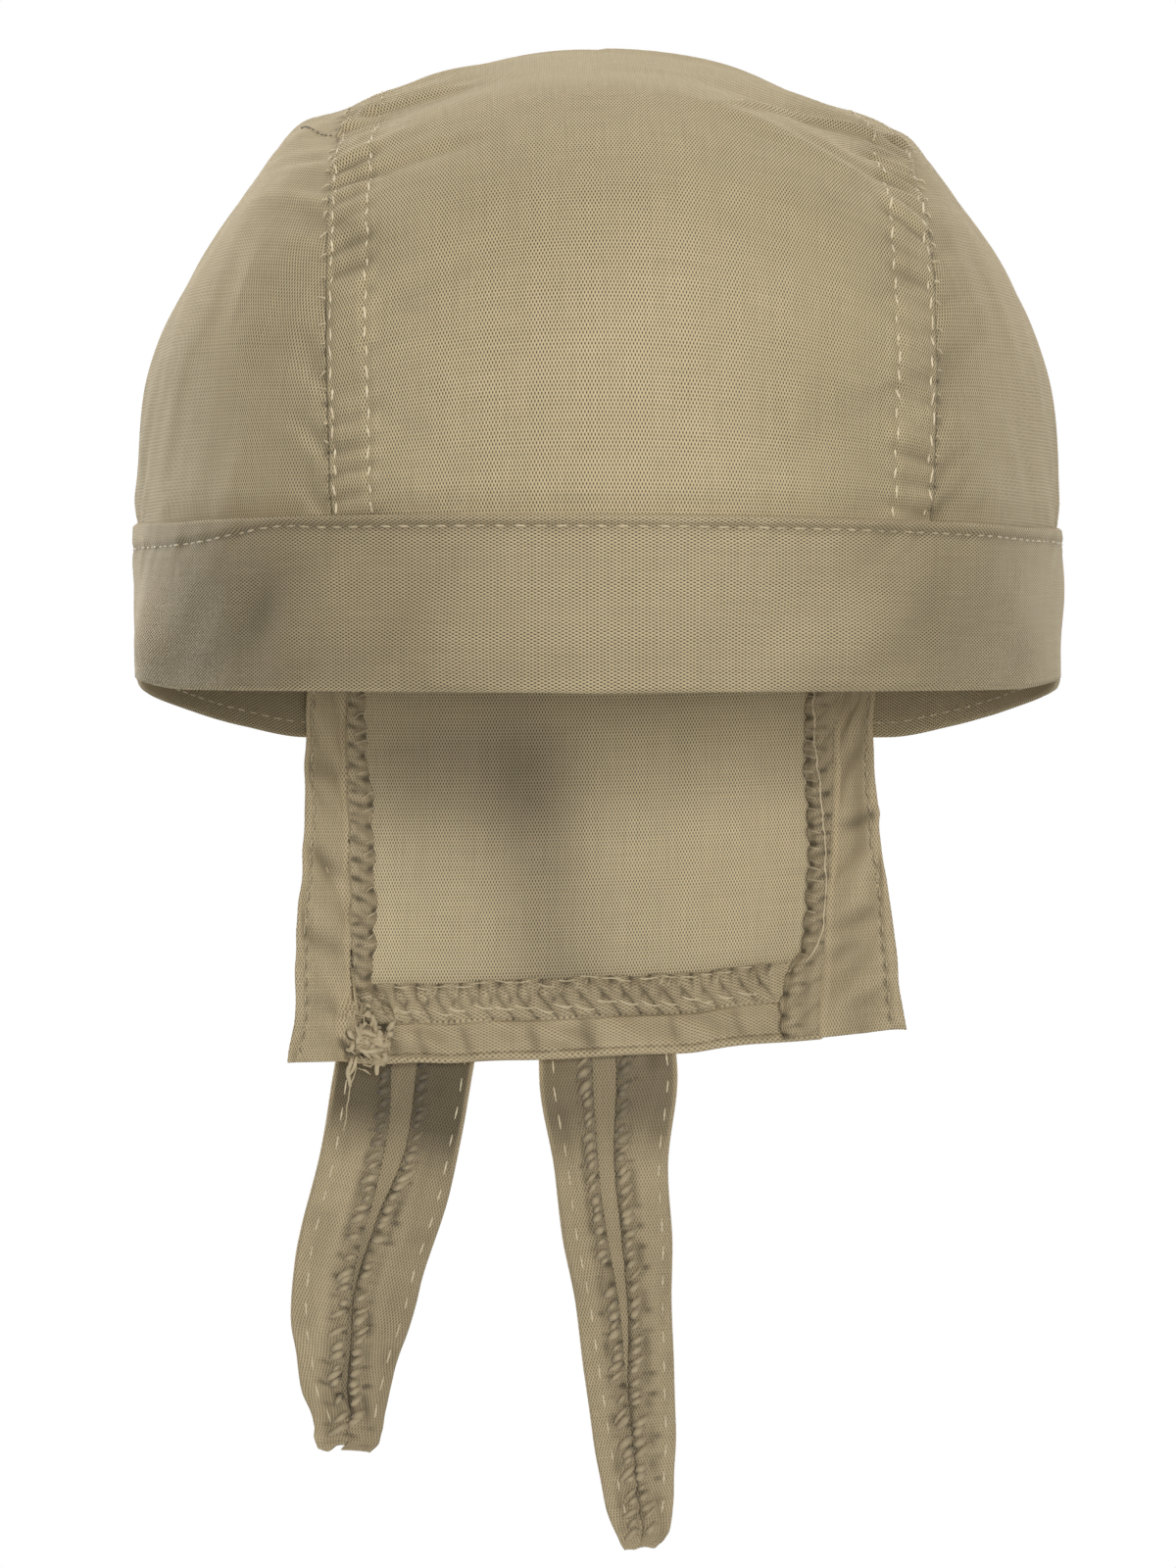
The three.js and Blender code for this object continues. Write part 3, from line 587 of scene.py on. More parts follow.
def cotton(name, light, shaded, hole=0.94):
    """Matt dyed cotton. light and shaded are the two ends of its own colour."""
    material, tree, shader = new_material(name)
    cloth = add_node(tree, "ShaderNodeUVMap", uv_map="cloth")
    weave = add_node(tree, "ShaderNodeGroup", node_tree=WEAVE)
    tree.links.new(cloth.outputs["UV"], weave.inputs["Cloth"])
    colour, _ = dyed_colour(tree, light, shaded)
    threads = ranged(tree, weave.outputs["Slub"], 0.3, 0.7, 0.9, 1.08)
    # Painted highlight on the raised thread crossings, and painted shade on the low ones.
    crossings = ranged(tree, weave.outputs["Height"], 0.35, 1.0, 0.92, 1.2)
    colour = multiply(tree, multiply(tree, colour, threads), crossings)
    holes = sum_up(tree, "MULTIPLY_ADD", weave.outputs["Pinhole"], -hole, 1.0)
    colour = darkened_by_painted_shade(tree, multiply(tree, colour, holes))
    tree.links.new(colour, shader.inputs["Base Color"])

    matt = ranged(tree, weave.outputs["Slub"], 0.0, 1.0, 0.95, 0.8)
    tree.links.new(matt, shader.inputs["Roughness"])
    raised = add_node(tree, "ShaderNodeBump", {"Height": weave.outputs["Height"], "Strength": 0.7})
    raised.inputs["Distance"].default_value = 0.00022
    tree.links.new(raised.outputs["Normal"], shader.inputs["Normal"])
    shader.inputs["Sheen Weight"].default_value = 0.18
    shader.inputs["Sheen Roughness"].default_value = 0.45
    shader.inputs["Sheen Tint"].default_value = (*light, 1)
    shader.inputs["Specular IOR Level"].default_value = 0.25
    return material


def spaced(edge, middle, length):
    """Shares across a sheet, close together beside each edge, where the fine puckers are."""
    fine = 0.010
    near = np.arange(0, fine, edge)
    between = np.linspace(fine, length - fine, round((length - 2 * fine) / middle) + 1)
    return np.concatenate([near, between, length - near[::-1]]) / length


KHAKI_LIGHT = (0.560, 0.456, 0.279)
KHAKI_SHADED = (0.478, 0.386, 0.230)
khaki_cloth = cotton("khaki cotton", KHAKI_LIGHT, KHAKI_SHADED)
# The inside is the cloth's lighter wrong side, made lighter still as painted light on the flap's inside,
# which lies in shade under the rim.
inner_cloth = cotton("khaki cotton, inside", (0.755, 0.626, 0.40), (0.66, 0.544, 0.343))
centre_panel = cut_cloth(
    "centre_panel_cloth",
    spaced(0.0005, 0.0016, 0.106),
    np.arange(-FRONT_LAP, CROWN_LENGTH + FLAP_LENGTH + 0.0005, 0.001),
    panel_point,
    khaki_cloth,
    dark_at=panel_dark,
    inside=inner_cloth,
)
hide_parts("centre_panel")


# Side panels: two domed halves of the same cotton, cut as a D and eased into the dome. Each lies
# under the centre panel's turned edge and under the headband.
LAP = 0.008
LAP_EASE = 0.0080
UNDER_LAP = 0.0002
UNDER_MORE = 0.0009
SEAM_RADIUS = 0.095
FLAT_RADIUS = 0.088


def side_place(along, up):
    """Turn, lift and how far inside the seam a place of the half disk lies, for one side panel."""
    flat = np.maximum(up, 0)
    p = along * np.sqrt(1 - flat**2 / 2)
    q = flat * np.sqrt(1 - along**2 / 2)
    return np.degrees(np.arctan2(q, -p)), np.minimum(np.hypot(p, q), 1)


def side_panel(side):
    def measure(along, up):
        turn, share = side_place(-along if side < 0 else along, up)
        seam_lift = lift_at(turn, seam_out(turn, side))
        edge_lift = seam_lift + np.degrees(LAP / crown_radius(turn, seam_lift))
        lift = edge_lift * share
        past = np.radians(seam_lift - lift) * crown_radius(turn, lift)
        return turn, lift, past

    def puckers(station, past):
        close = np.exp(-np.maximum(past, 0) / 0.008)
        return close * rumple(past, station - 0.9 * past, 0.010, 0.0040, 41 + side)

    def dark_at(along, up):
        # Painted shade: a little over the whole panel, more beside the seam and on the right, in the
        # puckers' hollows and at the nicks.
        turn, _, past = measure(along, up)
        station = np.radians(turn) * SEAM_RADIUS
        nicks = bump(past - 0.0002, 0.0010) * edge_nicks(turn / 180 * CROWN_LENGTH, 16 + 5 * side)
        beside = mix(0.05, 0.10, side > 0) * (1 - smoothstep(past, 0.012, 0.045))
        hollows = 0.34 * np.maximum(-puckers(station, past), 0) + 0.75 * nicks * (turn < 70)
        return 0.04 + beside + hollows

    def face(turn, lift, past):
        """The panel's outer face, its depth, and how far out from the middle it is."""
        shoulder = bump(turn - 84, 34)
        ease = 1 - smoothstep(past, 0.0, LAP_EASE)
        step = np.exp(-np.maximum(past, 0) / 0.0011)
        under = UNDER_LAP * mix(ease, step, 0.4)
        under = under + 0.45 * EDGE_SUNK * shoulder * (1 - smoothstep(past, 0.001, LAP_EASE))
        more = UNDER_MORE + 0.0002 + 0.55 * EDGE_SUNK * shoulder
        under = under + more * smoothstep(-past, 0.0, 0.0015)
        under = under - 0.0002 * shoulder * bump(past - 0.0080, 0.0055)
        station = np.radians(turn) * SEAM_RADIUS
        relief = 0.0009 * puckers(station, past) * mix(0.3, 1, smoothstep(past, 0.0, 0.0045))
        soft = 0.0007 * rumple(station, past, 0.034, 0.024, 51 + side)
        soft = soft + 0.00032 * rumple(station, past + 0.5 * station, 0.016, 0.007, 61 + side)
        relief = relief + soft * smoothstep(past, 0.0, 0.011)
        depth = under - relief * smoothstep(past, 0.0, 0.001)
        return crown_point(turn, lift, side, depth), depth

    def point_at(along, up):
        turn, lift, past = measure(along, up)
        crown, depth = face(turn, lift, past)
        out = crown_radius(turn, lift) * np.cos(np.radians(lift))
        around = around_at(np.minimum(out / HALF_WIDTH, 1) * HALF_WIDTH, turn < 90)
        z = mix(EAR_Z, read(BAND_EDGES, around, TOP) - FRONT_LAP, np.clip(-up, 0, 1))
        wall = wall_point(around, z, depth + pressed_in(around, z) - fold_height(turn, side * out))
        wall[..., 0] *= side
        return np.where((up > 0)[..., None], crown, wall)

    def flat(along, up):
        turn, lift, _ = measure(along, up)
        reach = np.radians(lift) * FLAT_RADIUS
        x, y = reach * np.cos(np.radians(turn)), reach * np.sin(np.radians(turn))
        return np.stack([x, y + np.minimum(up, 0) * FRONT_LAP], axis=-1)

    word = "left" if side < 0 else "right"
    near_seam = [0.972, 0.986, 1]
    rows = np.concatenate([np.linspace(0.02, 0.87, 82), np.arange(0.876, 0.965, 0.005), near_seam])
    ups = np.concatenate([[-1, -0.5, 0, 0.006, 0.012], rows])
    alongs = np.concatenate([-rows[::-1], [-0.01, 0, 0.01], rows])
    piece = cut_cloth(f"side_panel_cloth_{word}", alongs, ups, point_at, khaki_cloth, flat,
                      dark_at=dark_at)
    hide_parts(f"side_panel_{word}")

    def line_at(past, turn):
        seam_lift = lift_at(turn, seam_out(turn, side))
        lift = seam_lift - np.degrees(past / crown_radius(turn, seam_lift))
        return face(turn, lift, past)[0]

    return line_at


left_side_line = side_panel(-1)
right_side_line = side_panel(1)


# Headband: a strip of the cotton doubled at the rim. Its top edge is turned in over the crown's
# raw edge and topstitched, which leaves a narrow raised roll above the stitches.
BAND_END_X = 0.053
BAND_PROUD = 0.0008
BAND_RADIUS = 0.093
ROLL_ROW = np.array([
    # angle round the head, how far below the top edge the stitch row runs
    (-142, 0.0028), (-100, 0.0030), (-84, 0.0048), (-68, 0.0044), (-55, 0.0038), (-47, 0.0026),
    (-40, 0.0017), (-33, 0.0021), (0, 0.0022), (52, 0.0021), (72, 0.0026), (92, 0.0032), (142, 0.0028),
])
BAND_PATH = np.array([
    # share across the cloth, share up from the rim, depth into the band
    (0.0, 0.90, 0.0009), (0.05, 0.985, 0.0008), (0.065, 1.0, 0.0004), (0.08, 0.985, 0.0),
    (0.50, 0.03, 0.0), (0.53, 0.0, 0.0006), (0.56, 0.03, 0.0012), (1.0, 0.97, 0.0012),
])
BAND_FOLDS = [
    # angle round the head, height above the rim, width in degrees, how far it stands out
    (-72, 0.008, 5, 0.0010), (-50, 0.014, 4, -0.0007), (-18, 0.006, 6, 0.0009), (12, 0.007, 5, -0.0007),
    (34, 0.010, 5, 0.0009), (66, 0.012, 5, -0.0008), (84, 0.016, 4, 0.0004),
]
band_end = float(around_at(BAND_END_X, False))


def band_top(around):
    """The top edge's height: it stands a little higher on the left."""
    return read(BAND_EDGES, np.abs(around), TOP) - 0.0005 * np.sin(np.radians(around))


def band_place(path, around):
    """Rim, top and height at a place of the headband's cloth, and how far it is the outer layer."""
    rim, top = read(BAND_EDGES, np.abs(around), RIM), band_top(around)
    outer = smoothstep(path, 0.06, 0.08) * (1 - smoothstep(path, 0.50, 0.52))
    return rim, top, mix(rim, top, read(BAND_PATH, path, 1)), outer


def band_point(path, around):
    """The headband's cloth along its path, from the turned top edge down to the rim and up inside."""
    absolute = np.abs(around)
    rim, top, z, outer = band_place(path, around)
    depth = read(BAND_PATH, path, 2)
    below_top, along = top - z, np.radians(around) * BAND_RADIUS
    row = read(ROLL_ROW, around, 1)
    roll = mix(0.00042, 0.00012, smoothstep(absolute, 48, 72))
    relief = roll * (1 - smoothstep(below_top, row * 0.55, row))
    relief = relief - 0.00028 * bump(below_top - row, 0.0007)
    slanted = along + 0.7 * below_top
    puckers = rumple(below_top, slanted, 0.006, 0.0032, 71)
    relief = relief + 0.00038 * puckers * np.exp(-np.abs(below_top - row) / 0.0040)
    relief = relief + 0.0007 * rumple(along, below_top, 0.026, 0.016, 73)
    relief = relief + 0.00034 * rumple(along + below_top, below_top, 0.010, 0.014, 74)
    relief = relief + 0.0010 * bump(absolute - 88, 26) * smoothstep(below_top, 0.008, 0.026) - 0.0002
    for at, low, width, height in BAND_FOLDS:
        if height > 0:
            relief = relief + 1.4 * height * bump(around - at, width) * bump(z - rim - low, 0.009)
        else:
            relief = relief + 1.1 * height * bump(around - at - 5, width) * bump(z - rim - low, 0.010)
    relief = np.maximum(relief, -0.0006)
    both_layers = relief * outer + np.minimum(relief, 0) * (1 - outer)
    wall = wall_point(absolute, z, depth - BAND_PROUD - both_layers)
    wall[..., 0] *= np.where(around < 0, -1, 1)
    return wall


def band_dark(path, around):
    """Painted shade on the headband: over its outer face, more on the left and less from the temples
    back, beside its stitches, in the soft folds at both temples, and on its inner face at the back,
    more on the left.
    """
    rim, top, z, outer = band_place(path, around)
    edges = smoothstep(np.abs(around), 62, 84) * mix(0.10, 0.32, around < 0)
    dark = 0.20 + 0.14 * smoothstep(-around, 0, 25) - edges
    dark = dark + 0.24 * bump(top - z - read(ROLL_ROW, around, 1), 0.0009)
    for at, up, wide, high, deep in BAND_HOLLOWS:
        slope = (around - at) / wide
        dark = dark + deep * np.exp(-(slope**2) - ((z - rim - up - 0.004 * slope) / high) ** 2)
    inside = smoothstep(path, 0.50, 0.56)
    inside_back = mix(0.12, 0.46, around < 0) * inside * smoothstep(np.abs(around), 90, 110)
    return np.clip(outer * dark + inside_back, 0, 1)


# Painted shade in the headband's soft folds.
BAND_HOLLOWS = [
    # angle round the head, height above the rim, width in degrees, height, how much shade is painted there
    (-54, 0.016, 13, 0.011, 0.26), (-44, 0.014, 4, 0.005, 0.30), (-60, 0.004, 14, 0.005, 0.30),
    (-40, 0.003, 14, 0.004, 0.14), (50, 0.012, 12, 0.011, 0.20), (43, 0.017, 4, 0.005, 0.14),
    (30, 0.004, 12, 0.004, 0.14), (62, 0.006, 8, 0.005, 0.16), (-8, 0.004, 16, 0.003, 0.08),
]
band_columns = np.concatenate([
    np.linspace(0, 0.08, 8), np.linspace(0.086, 0.17, 14), np.linspace(0.182, 0.50, 27),
    np.linspace(0.51, 0.56, 6), np.linspace(0.59, 1, 14),
])
headband = cut_cloth("headband_cloth", band_columns, np.linspace(-band_end, band_end, 400),
                     band_point, khaki_cloth, thick=0.00045, dark_at=band_dark)
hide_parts("headband")


# Flap borders: a doubled strip along each long edge of the flap. On the wrong side, which shows
# under the front rim, each seam allowance lies over the centre panel with its edge overlocked.
FLAP_TOP = 0.016
ALLOWANCES = np.array([
    # height, how wide the seam allowance is on the left and on the right
    (-0.062, 0.0042, 0.0068), (-0.057, 0.0044, 0.0068), (-0.050, 0.0047, 0.0046),
    (-0.040, 0.0048, 0.0042), (-0.022, 0.0046, 0.0050), (-0.012, 0.0036, 0.0054),
    (0.016, 0.0033, 0.0056),
])
HEM_ALLOWANCE = 0.0074
GAP = 0.0003
STRIP_THICK = 0.00042
STRIP_PATH = np.array([
    # share across the cloth, share from the seam to the free edge, past the seam, depth
    (0.0, 0.0, 0.0, 0.0), (0.32, 0.95, 0.0, 0.0), (0.35, 1.0, 0.0, 0.0005),
    (0.38, 0.95, 0.0, 0.0010), (0.70, 0.08, 0.0, 0.0010), (0.73, 0.03, 0.0, 0.0014),
    (0.76, 0.0, 0.0002, 0.0021), (1.0, 0.0, 1.0, 0.0021),
])
STITCH_PITCH = 0.0034
PUFFS = {
    # pitch, slant and strength of the puffs between the needle row and the seam, and of the shade painted
    # between them
    "left": (0.0037, 0.4, 1), "right": (0.0053, 1.1, 0.4), "hem": (0.0041, 0.8, 1.1),
}
LOOP_PITCH = 0.0021
NEEDLE_PITCH = 0.0042
NEEDLE_ROW = 0.0038
HEM_OVERLAP = 0.0012


def overlocked(edge, along, seed, slant=0.45, row=NEEDLE_ROW):
    """A raw edge under overlock thread: a rope pulled up by the loops, with a dent wherever the needle
    went through and a notch wherever a loop holds the edge. Returns the height and the shade painted
    into the dents, the notches and between the loops."""
    wander = along + 0.0012 * rumple(edge, along, 0.02, 0.008, seed)
    shifted = wander + slant * edge + 0.0006 * rumple(edge, along, 0.0024, 0.0034, seed + 4)
    loops = 0.5 + 0.5 * np.cos(2 * np.pi * shifted / LOOP_PITCH)
    uneven = 0.65 + 0.35 * rumple(edge, along, 0.04, 0.0052, seed + 1)
    ridge = bump(edge - row * 0.45, row * 0.3)
    rope = smoothstep(edge, -0.0001, 0.0006) * (1 - smoothstep(edge, row * 0.7, row))
    near_needle = bump(np.sin(np.pi * wander / NEEDLE_PITCH), 0.34)
    near_loop = bump(np.cos(np.pi * wander / NEEDLE_PITCH), 0.42)
    pits = 0.6 * bump(edge - row, 0.0007) * near_needle * uneven
    notches = bump(edge - 0.0004, 0.0011) * near_loop * (0.4 + 0.6 * uneven)
    height = 0.0010 * ridge * (0.35 + 0.65 * loops * uneven) - 0.0006 * pits - 0.0010 * notches
    height = height + 0.00034 * rope * rumple(edge, along, 0.0016, 0.0030, seed + 2)
    hollows = rope * (1 - loops) ** 2 * uneven
    return height, np.clip(1.6 * pits + 1.4 * notches + 0.42 * hollows, 0, 1)


BORDER_FOLDS = [
    # x, z, way in degrees, half the length and width, how much shade is painted in it: the flap's loose
    # strips are creased
    (-0.0539, -0.0127, -23, 0.0040, 0.0022, 0.34), (-0.0536, -0.0305, -40, 0.0042, 0.0015, 0.38),
    (-0.0548, -0.0460, -28, 0.0044, 0.0018, 0.34), (-0.0545, -0.0585, -30, 0.0040, 0.0016, 0.22),
    (0.0520, -0.0223, 22, 0.0044, 0.0013, 0.50), (0.0503, -0.0417, 29, 0.0046, 0.0015, 0.30),
    (0.0485, -0.0480, 28, 0.0040, 0.0015, 0.26), (0.0530, -0.0570, 24, 0.0046, 0.0015, 0.16),
    (-0.0259, -0.0663, -70, 0.0032, 0.0010, 0.34), (-0.0126, -0.0660, -72, 0.0032, 0.0012, 0.38),
    (-0.0020, -0.0650, -74, 0.0040, 0.0016, 0.45), (-0.0409, -0.0655, -70, 0.0040, 0.0014, 0.45),
    (-0.0350, -0.0665, -66, 0.0030, 0.0009, 0.28), (0.0150, -0.0640, -74, 0.0030, 0.0009, 0.26),
    (0.0280, -0.0625, -72, 0.0030, 0.0010, 0.26),
]


def creased(x, z):
    """How deep the creases of the flap's borders and hem are at a place, which also sets the shade painted
    into them.
    """
    deep = 0 * x
    for at_x, at_z, way, length, width, dark in BORDER_FOLDS:
        deep = deep + dark * crease_at(x - at_x, z - at_z, way, length, width)
    return deep


FRAY_X = -0.0464
FRAY_Z = -0.0640


def frayed(x, z):
    """The lump at the flap's lower left, where three raw ends meet: its height and the shade painted into
    its hollows.
    """
    inside = 1 - smoothstep(np.hypot((x - FRAY_X) / 0.0058, (z - FRAY_Z) / 0.0098), 0.7, 1.0)
    crumple = rumple(x, z, 0.0022, 0.0026, 301) + 0.6 * rumple(x + z, z, 0.0012, 0.0016, 302)
    return inside * (0.0010 + 0.0019 * crumple), inside * 0.95 * smoothstep(-crumple, 0.0, 0.6)


def strip_depth(path, past, x, z, along, width, seed, puff):
    """Depth and painted shade of a strip at a share of its path and a length along it. The shade lies in
    the hollows of its overlock, between its puffs, in its stitch dents, puckers, creases and frayed lump,
    and over its seam allowance. puff names its row of PUFFS."""
    depth = read(STRIP_PATH, path, 3)
    inner = smoothstep(path, 0.36, 0.40)
    lapped = smoothstep(path, 0.74, 0.77)
    height, dark = overlocked(width - past, along, seed, -0.3)
    pitch, slant, strong = PUFFS[puff]
    shifted = along + slant * past + 0.0006 * rumple(along, past, 0.007, 0.02, seed + 6)
    turns = np.pi * shifted / pitch
    low = smoothstep(width - past, NEEDLE_ROW * 0.3, NEEDLE_ROW * 0.9)
    uneven = 0.7 + 0.3 * rumple(past, along, 0.02, 0.006, seed + 7)
    swell = np.abs(np.sin(turns)) ** 0.7 * smoothstep(past, -0.0002, 0.0010)
    height = height + 0.0009 * strong * low * swell * uneven
    dark = dark + 0.95 * strong * low * (1 - np.abs(np.sin(turns))) ** 2.4 * uneven
    bites = 0.5 + 0.5 * np.cos(2 * np.pi * along / 0.0011)
    height = height + 0.0003 * bump(path - 0.757, 0.012) * bites
    puckers = rumple(path, along + 0.028 * path, 0.13, 0.0046, seed + 2)
    stitched = bump(path - 0.43, 0.012) * inner
    depth = depth + inner * (1 - lapped) * (0.0007 * puckers - 0.0003 * stitched)
    depth = depth - (1 - inner) * 0.0002 * puckers
    lump, hollow = frayed(x, z)
    # Painted shade: in the stitch dents, the creases, the puckers of the inner face and a little over the
    # left border; over the seam allowance, more halfway down the right border and less at its top and at
    # the hem's sides; and across the right border a little below its top.
    dents = stitched * (0.5 + 0.5 * np.cos(2 * np.pi * along / STITCH_PITCH)) * 0.75
    crease = creased(x, z) * (1 - lapped)
    soft = inner * (1 - lapped) * (0.22 * np.maximum(-puckers, 0) + 0.05 * (x < 0))
    shaded = 0.24 + (x > 0) * (0.12 * bump(z + 0.024, 0.020) - 0.22 * smoothstep(z, -0.010, 0.0))
    on_hem = (np.abs(x) < 0.042) * smoothstep(-z, 0.046, 0.052)
    shaded = shaded - 0.14 * on_hem * smoothstep(np.abs(x), 0.008, 0.024)
    soft = soft + inner * (1 - lapped) * 0.16 * (x > 0.048) * bump(z + 0.0116, 0.009)
    dark = lapped * (dark + shaded) + dents + soft + 1.2 * crease * inner + inner * hollow
    return depth - 0.0012 * crease + lapped * height + inner * lump, np.clip(dark, 0, 1)


def strip_columns(inner, allowance):
    """Shares across a strip, with a number for its inner face and one for its seam allowance."""
    return np.concatenate([
        np.linspace(0, 0.30, 8), np.linspace(0.32, 0.48, 14), np.linspace(0.50, 0.70, inner),
        np.linspace(0.71, 0.78, 8), np.linspace(0.79, 1, allowance),
    ])


def flap_border(side):
    word = "left" if side < 0 else "right"
    free, seam = (FREE_LEFT, SEAM_LEFT) if side < 0 else (FREE_RIGHT, SEAM_RIGHT)
    seed = 100 + 10 * side

    def place(path, share):
        level = mix(FLAP_TOP, float(flap_bottom(0)), share)
        waver = 0.0005 * rumple(level, level, 0.011, 0.011, seed + 5)
        edge = read(FLAP_EDGES, level, free) + side * waver
        inner = read(FLAP_EDGES, level, seam) + waver * 0.5
        allowance = read(ALLOWANCES, level, 1 if side < 0 else 2)
        allowance = allowance + 0.0005 * rumple(level, level, 0.006, 0.004, seed)
        past = read(STRIP_PATH, path, 2) * allowance
        x = mix(inner, edge, read(STRIP_PATH, path, 1)) - side * past
        hem_top = flap_bottom(x) + FLAP_HEM + 0.0012
        over_hem = flap_bottom(x) + 0.0006
        lowest = np.where(path > 0.745, hem_top if side < 0 else over_hem, flap_bottom(x))
        return x, mix(FLAP_TOP, lowest, share), past, allowance

    def depth_at(path, share):
        x, z, past, allowance = place(path, share)
        depth, dark = strip_depth(path, past, x, z, z, allowance, seed, word)
        if side > 0:
            low = 1 - smoothstep(z - flap_bottom(x) - FLAP_HEM, 0.004, 0.011)
            depth = depth + HEM_OVERLAP * low * smoothstep(past, 0.0, 0.0012)
        return x, z, depth, dark

    def point_at(path, share):
        x, z, depth, _ = depth_at(path, share)
        return flap_point(x, z, depth)

    def dark_at(path, share):
        return depth_at(path, share)[3]

    piece = cut_cloth(f"flap_border_cloth_{word}", strip_columns(14, 16), np.linspace(0, 1, 230),
                      point_at, facing_cloth, thick=STRIP_THICK, dark_at=dark_at, turned=side < 0)
    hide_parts(f"flap_edge_{word}")
    return point_at


facing_cloth = cotton("khaki cotton, wrong side", (0.60, 0.489, 0.306), (0.51, 0.411, 0.252),
                      hole=0.58)
left_border = flap_border(-1)
right_border = flap_border(1)


# Flap hem: a shorter doubled strip between the borders. Its allowance is overlocked too, and lies
# up over the centre panel.
def hem_place(path, x):
    bottom = flap_bottom(x) + 0.0004 * rumple(x, x, 0.012, 0.012, 131)
    past = read(STRIP_PATH, path, 2) * (HEM_ALLOWANCE + 0.0005 * rumple(x, x, 0.005, 0.005, 132))
    return bottom + FLAP_HEM * (1 - read(STRIP_PATH, path, 1)) + past, past


def hem_depth(path, x):
    z, past = hem_place(path, x)
    depth, dark = strip_depth(path, past, x, z, x, HEM_ALLOWANCE, 140, "hem")
    under = smoothstep(x, 0.0340, 0.0375)
    return z, mix(depth, np.minimum(depth, read(STRIP_PATH, path, 3)), under), dark * (1 - under)


def hem_point(path, x):
    z, depth, _ = hem_depth(path, x)
    return flap_point(x, z, depth)


def hem_dark(path, x):
    return hem_depth(path, x)[2]


hem_rows = np.linspace(FLAP_EDGES[0, SEAM_LEFT] + GAP, FLAP_EDGES[0, SEAM_RIGHT] - GAP, 300)
flap_hem = cut_cloth("flap_hem_cloth", strip_columns(12, 20), hem_rows, hem_point, facing_cloth,
                     thick=STRIP_THICK, dark_at=hem_dark)
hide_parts("flap_hem")


# Ties: long strips that run on from the band's ends. Both edges are folded to the middle, their raw
# edges are overlocked, and a row of stitches holds each fold. They taper to a blunt tip.
TIE_THICK = 0.0017
TIE_HANG_Y = 0.0955
# Where the bare channel ends and the folds begin, as shares of the half width, and the share of
# the cloth that each hem takes.
TIE_CHANNEL = 0.19
TIE_FOLDED = 0.95
TIE_HEM = 0.24
TIE_LEFT = np.array([
    # place, x, z, heading, width, distance off the cloth behind, how far it hangs free
    (0, -0.0514, 0.0085, 0, 0.0290, 0.0004, 0), (1, -0.0440, 0.0086, 0, 0.0260, 0.0004, 0),
    (2, -0.0320, 0.0090, 2, 0.0190, 0.0004, 0), (3, -0.0210, 0.0092, 0, 0.0150, 0.0004, 0),
    (4, -0.0130, 0.0084, -14, 0.0140, 0.0004, 0), (5, -0.0066, 0.0050, -44, 0.0140, 0.0004, 0),
    (6, -0.0034, -0.0020, -80, 0.0140, 0.0005, 0), (7, -0.0026, -0.0120, -85, 0.0170, 0.0010, 0.5),
    (8, -0.0014, -0.0280, -86, 0.0220, 0.0020, 0.85), (9, 0.0002, -0.0500, -86, 0.0255, 0.0020, 1),
    (10, 0.0017, -0.0720, -86, 0.0262, 0.0020, 1), (11, 0.0029, -0.0940, -86, 0.0224, 0.0020, 1),
    (12, 0.0046, -0.1130, -86, 0.0208, 0.0020, 1), (13, 0.0061, -0.1330, -85, 0.0178, 0.0020, 1),
    (14, 0.0074, -0.1490, -84, 0.0162, 0.0020, 1), (15, 0.0086, -0.1590, -84, 0.0136, 0.0020, 1),
    (16, 0.0090, -0.1645, -84, 0.0104, 0.0020, 1), (17, 0.0082, -0.1676, -84, 0.0064, 0.0020, 1),
])
TIE_RIGHT = np.array([
    (0, 0.0514, 0.0085, 180, 0.0290, 0.0004, 0), (1, 0.0420, 0.0086, 180, 0.0260, 0.0004, 0),
    (2, 0.0240, 0.0090, 180, 0.0200, 0.0006, 0), (3, 0.0090, 0.0092, 180, 0.0160, 0.0024, 0),
    (4, -0.0030, 0.0092, 182, 0.0140, 0.0026, 0), (5, -0.0126, 0.0080, 198, 0.0140, 0.0026, 0),
    (6, -0.0194, 0.0030, 232, 0.0140, 0.0026, 0), (7, -0.0226, -0.0045, 255, 0.0145, 0.0024, 0.15),
    (8, -0.0256, -0.0160, 257, 0.0180, 0.0020, 0.5), (9, -0.0300, -0.0340, 256, 0.0230, 0.0020, 0.85),
    (10, -0.0350, -0.0540, 257, 0.0260, 0.0020, 1), (11, -0.0388, -0.0720, 257, 0.0268, 0.0020, 1),
    (12, -0.0422, -0.0938, 257, 0.0258, 0.0020, 1), (13, -0.0476, -0.1130, 258, 0.0246, 0.0020, 1),
    (14, -0.0499, -0.1270, 262, 0.0210, 0.0020, 1), (15, -0.0499, -0.1364, 265, 0.0178, 0.0020, 1),
    (16, -0.0496, -0.1420, 265, 0.0150, 0.0020, 1), (17, -0.0497, -0.1456, 263, 0.0128, 0.0020, 1),
    (18, -0.0501, -0.1476, 262, 0.0104, 0.0020, 1),
])
TIE_PATH = np.array([
    # share across the cloth, share of the half width, share of the folded thickness
    (0.0, -TIE_CHANNEL, 1.0), (TIE_HEM, -TIE_FOLDED, 1.0), (0.27, -1.0, 0.5),
    (0.30, -TIE_FOLDED, 0.0), (0.50, 0.0, 0.0), (0.70, TIE_FOLDED, 0.0), (0.73, 1.0, 0.5),
    (0.76, TIE_FOLDED, 1.0), (1.0, TIE_CHANNEL, 1.0),
])
TIE_NEEDLE_ROW = 0.0027
TIE_LAST_FOLD = 8


def tie_inset(side):
    """How far in from a fold the stitches run: wider on the left."""
    return np.where(side < 0, 0.0032, 0.0022)


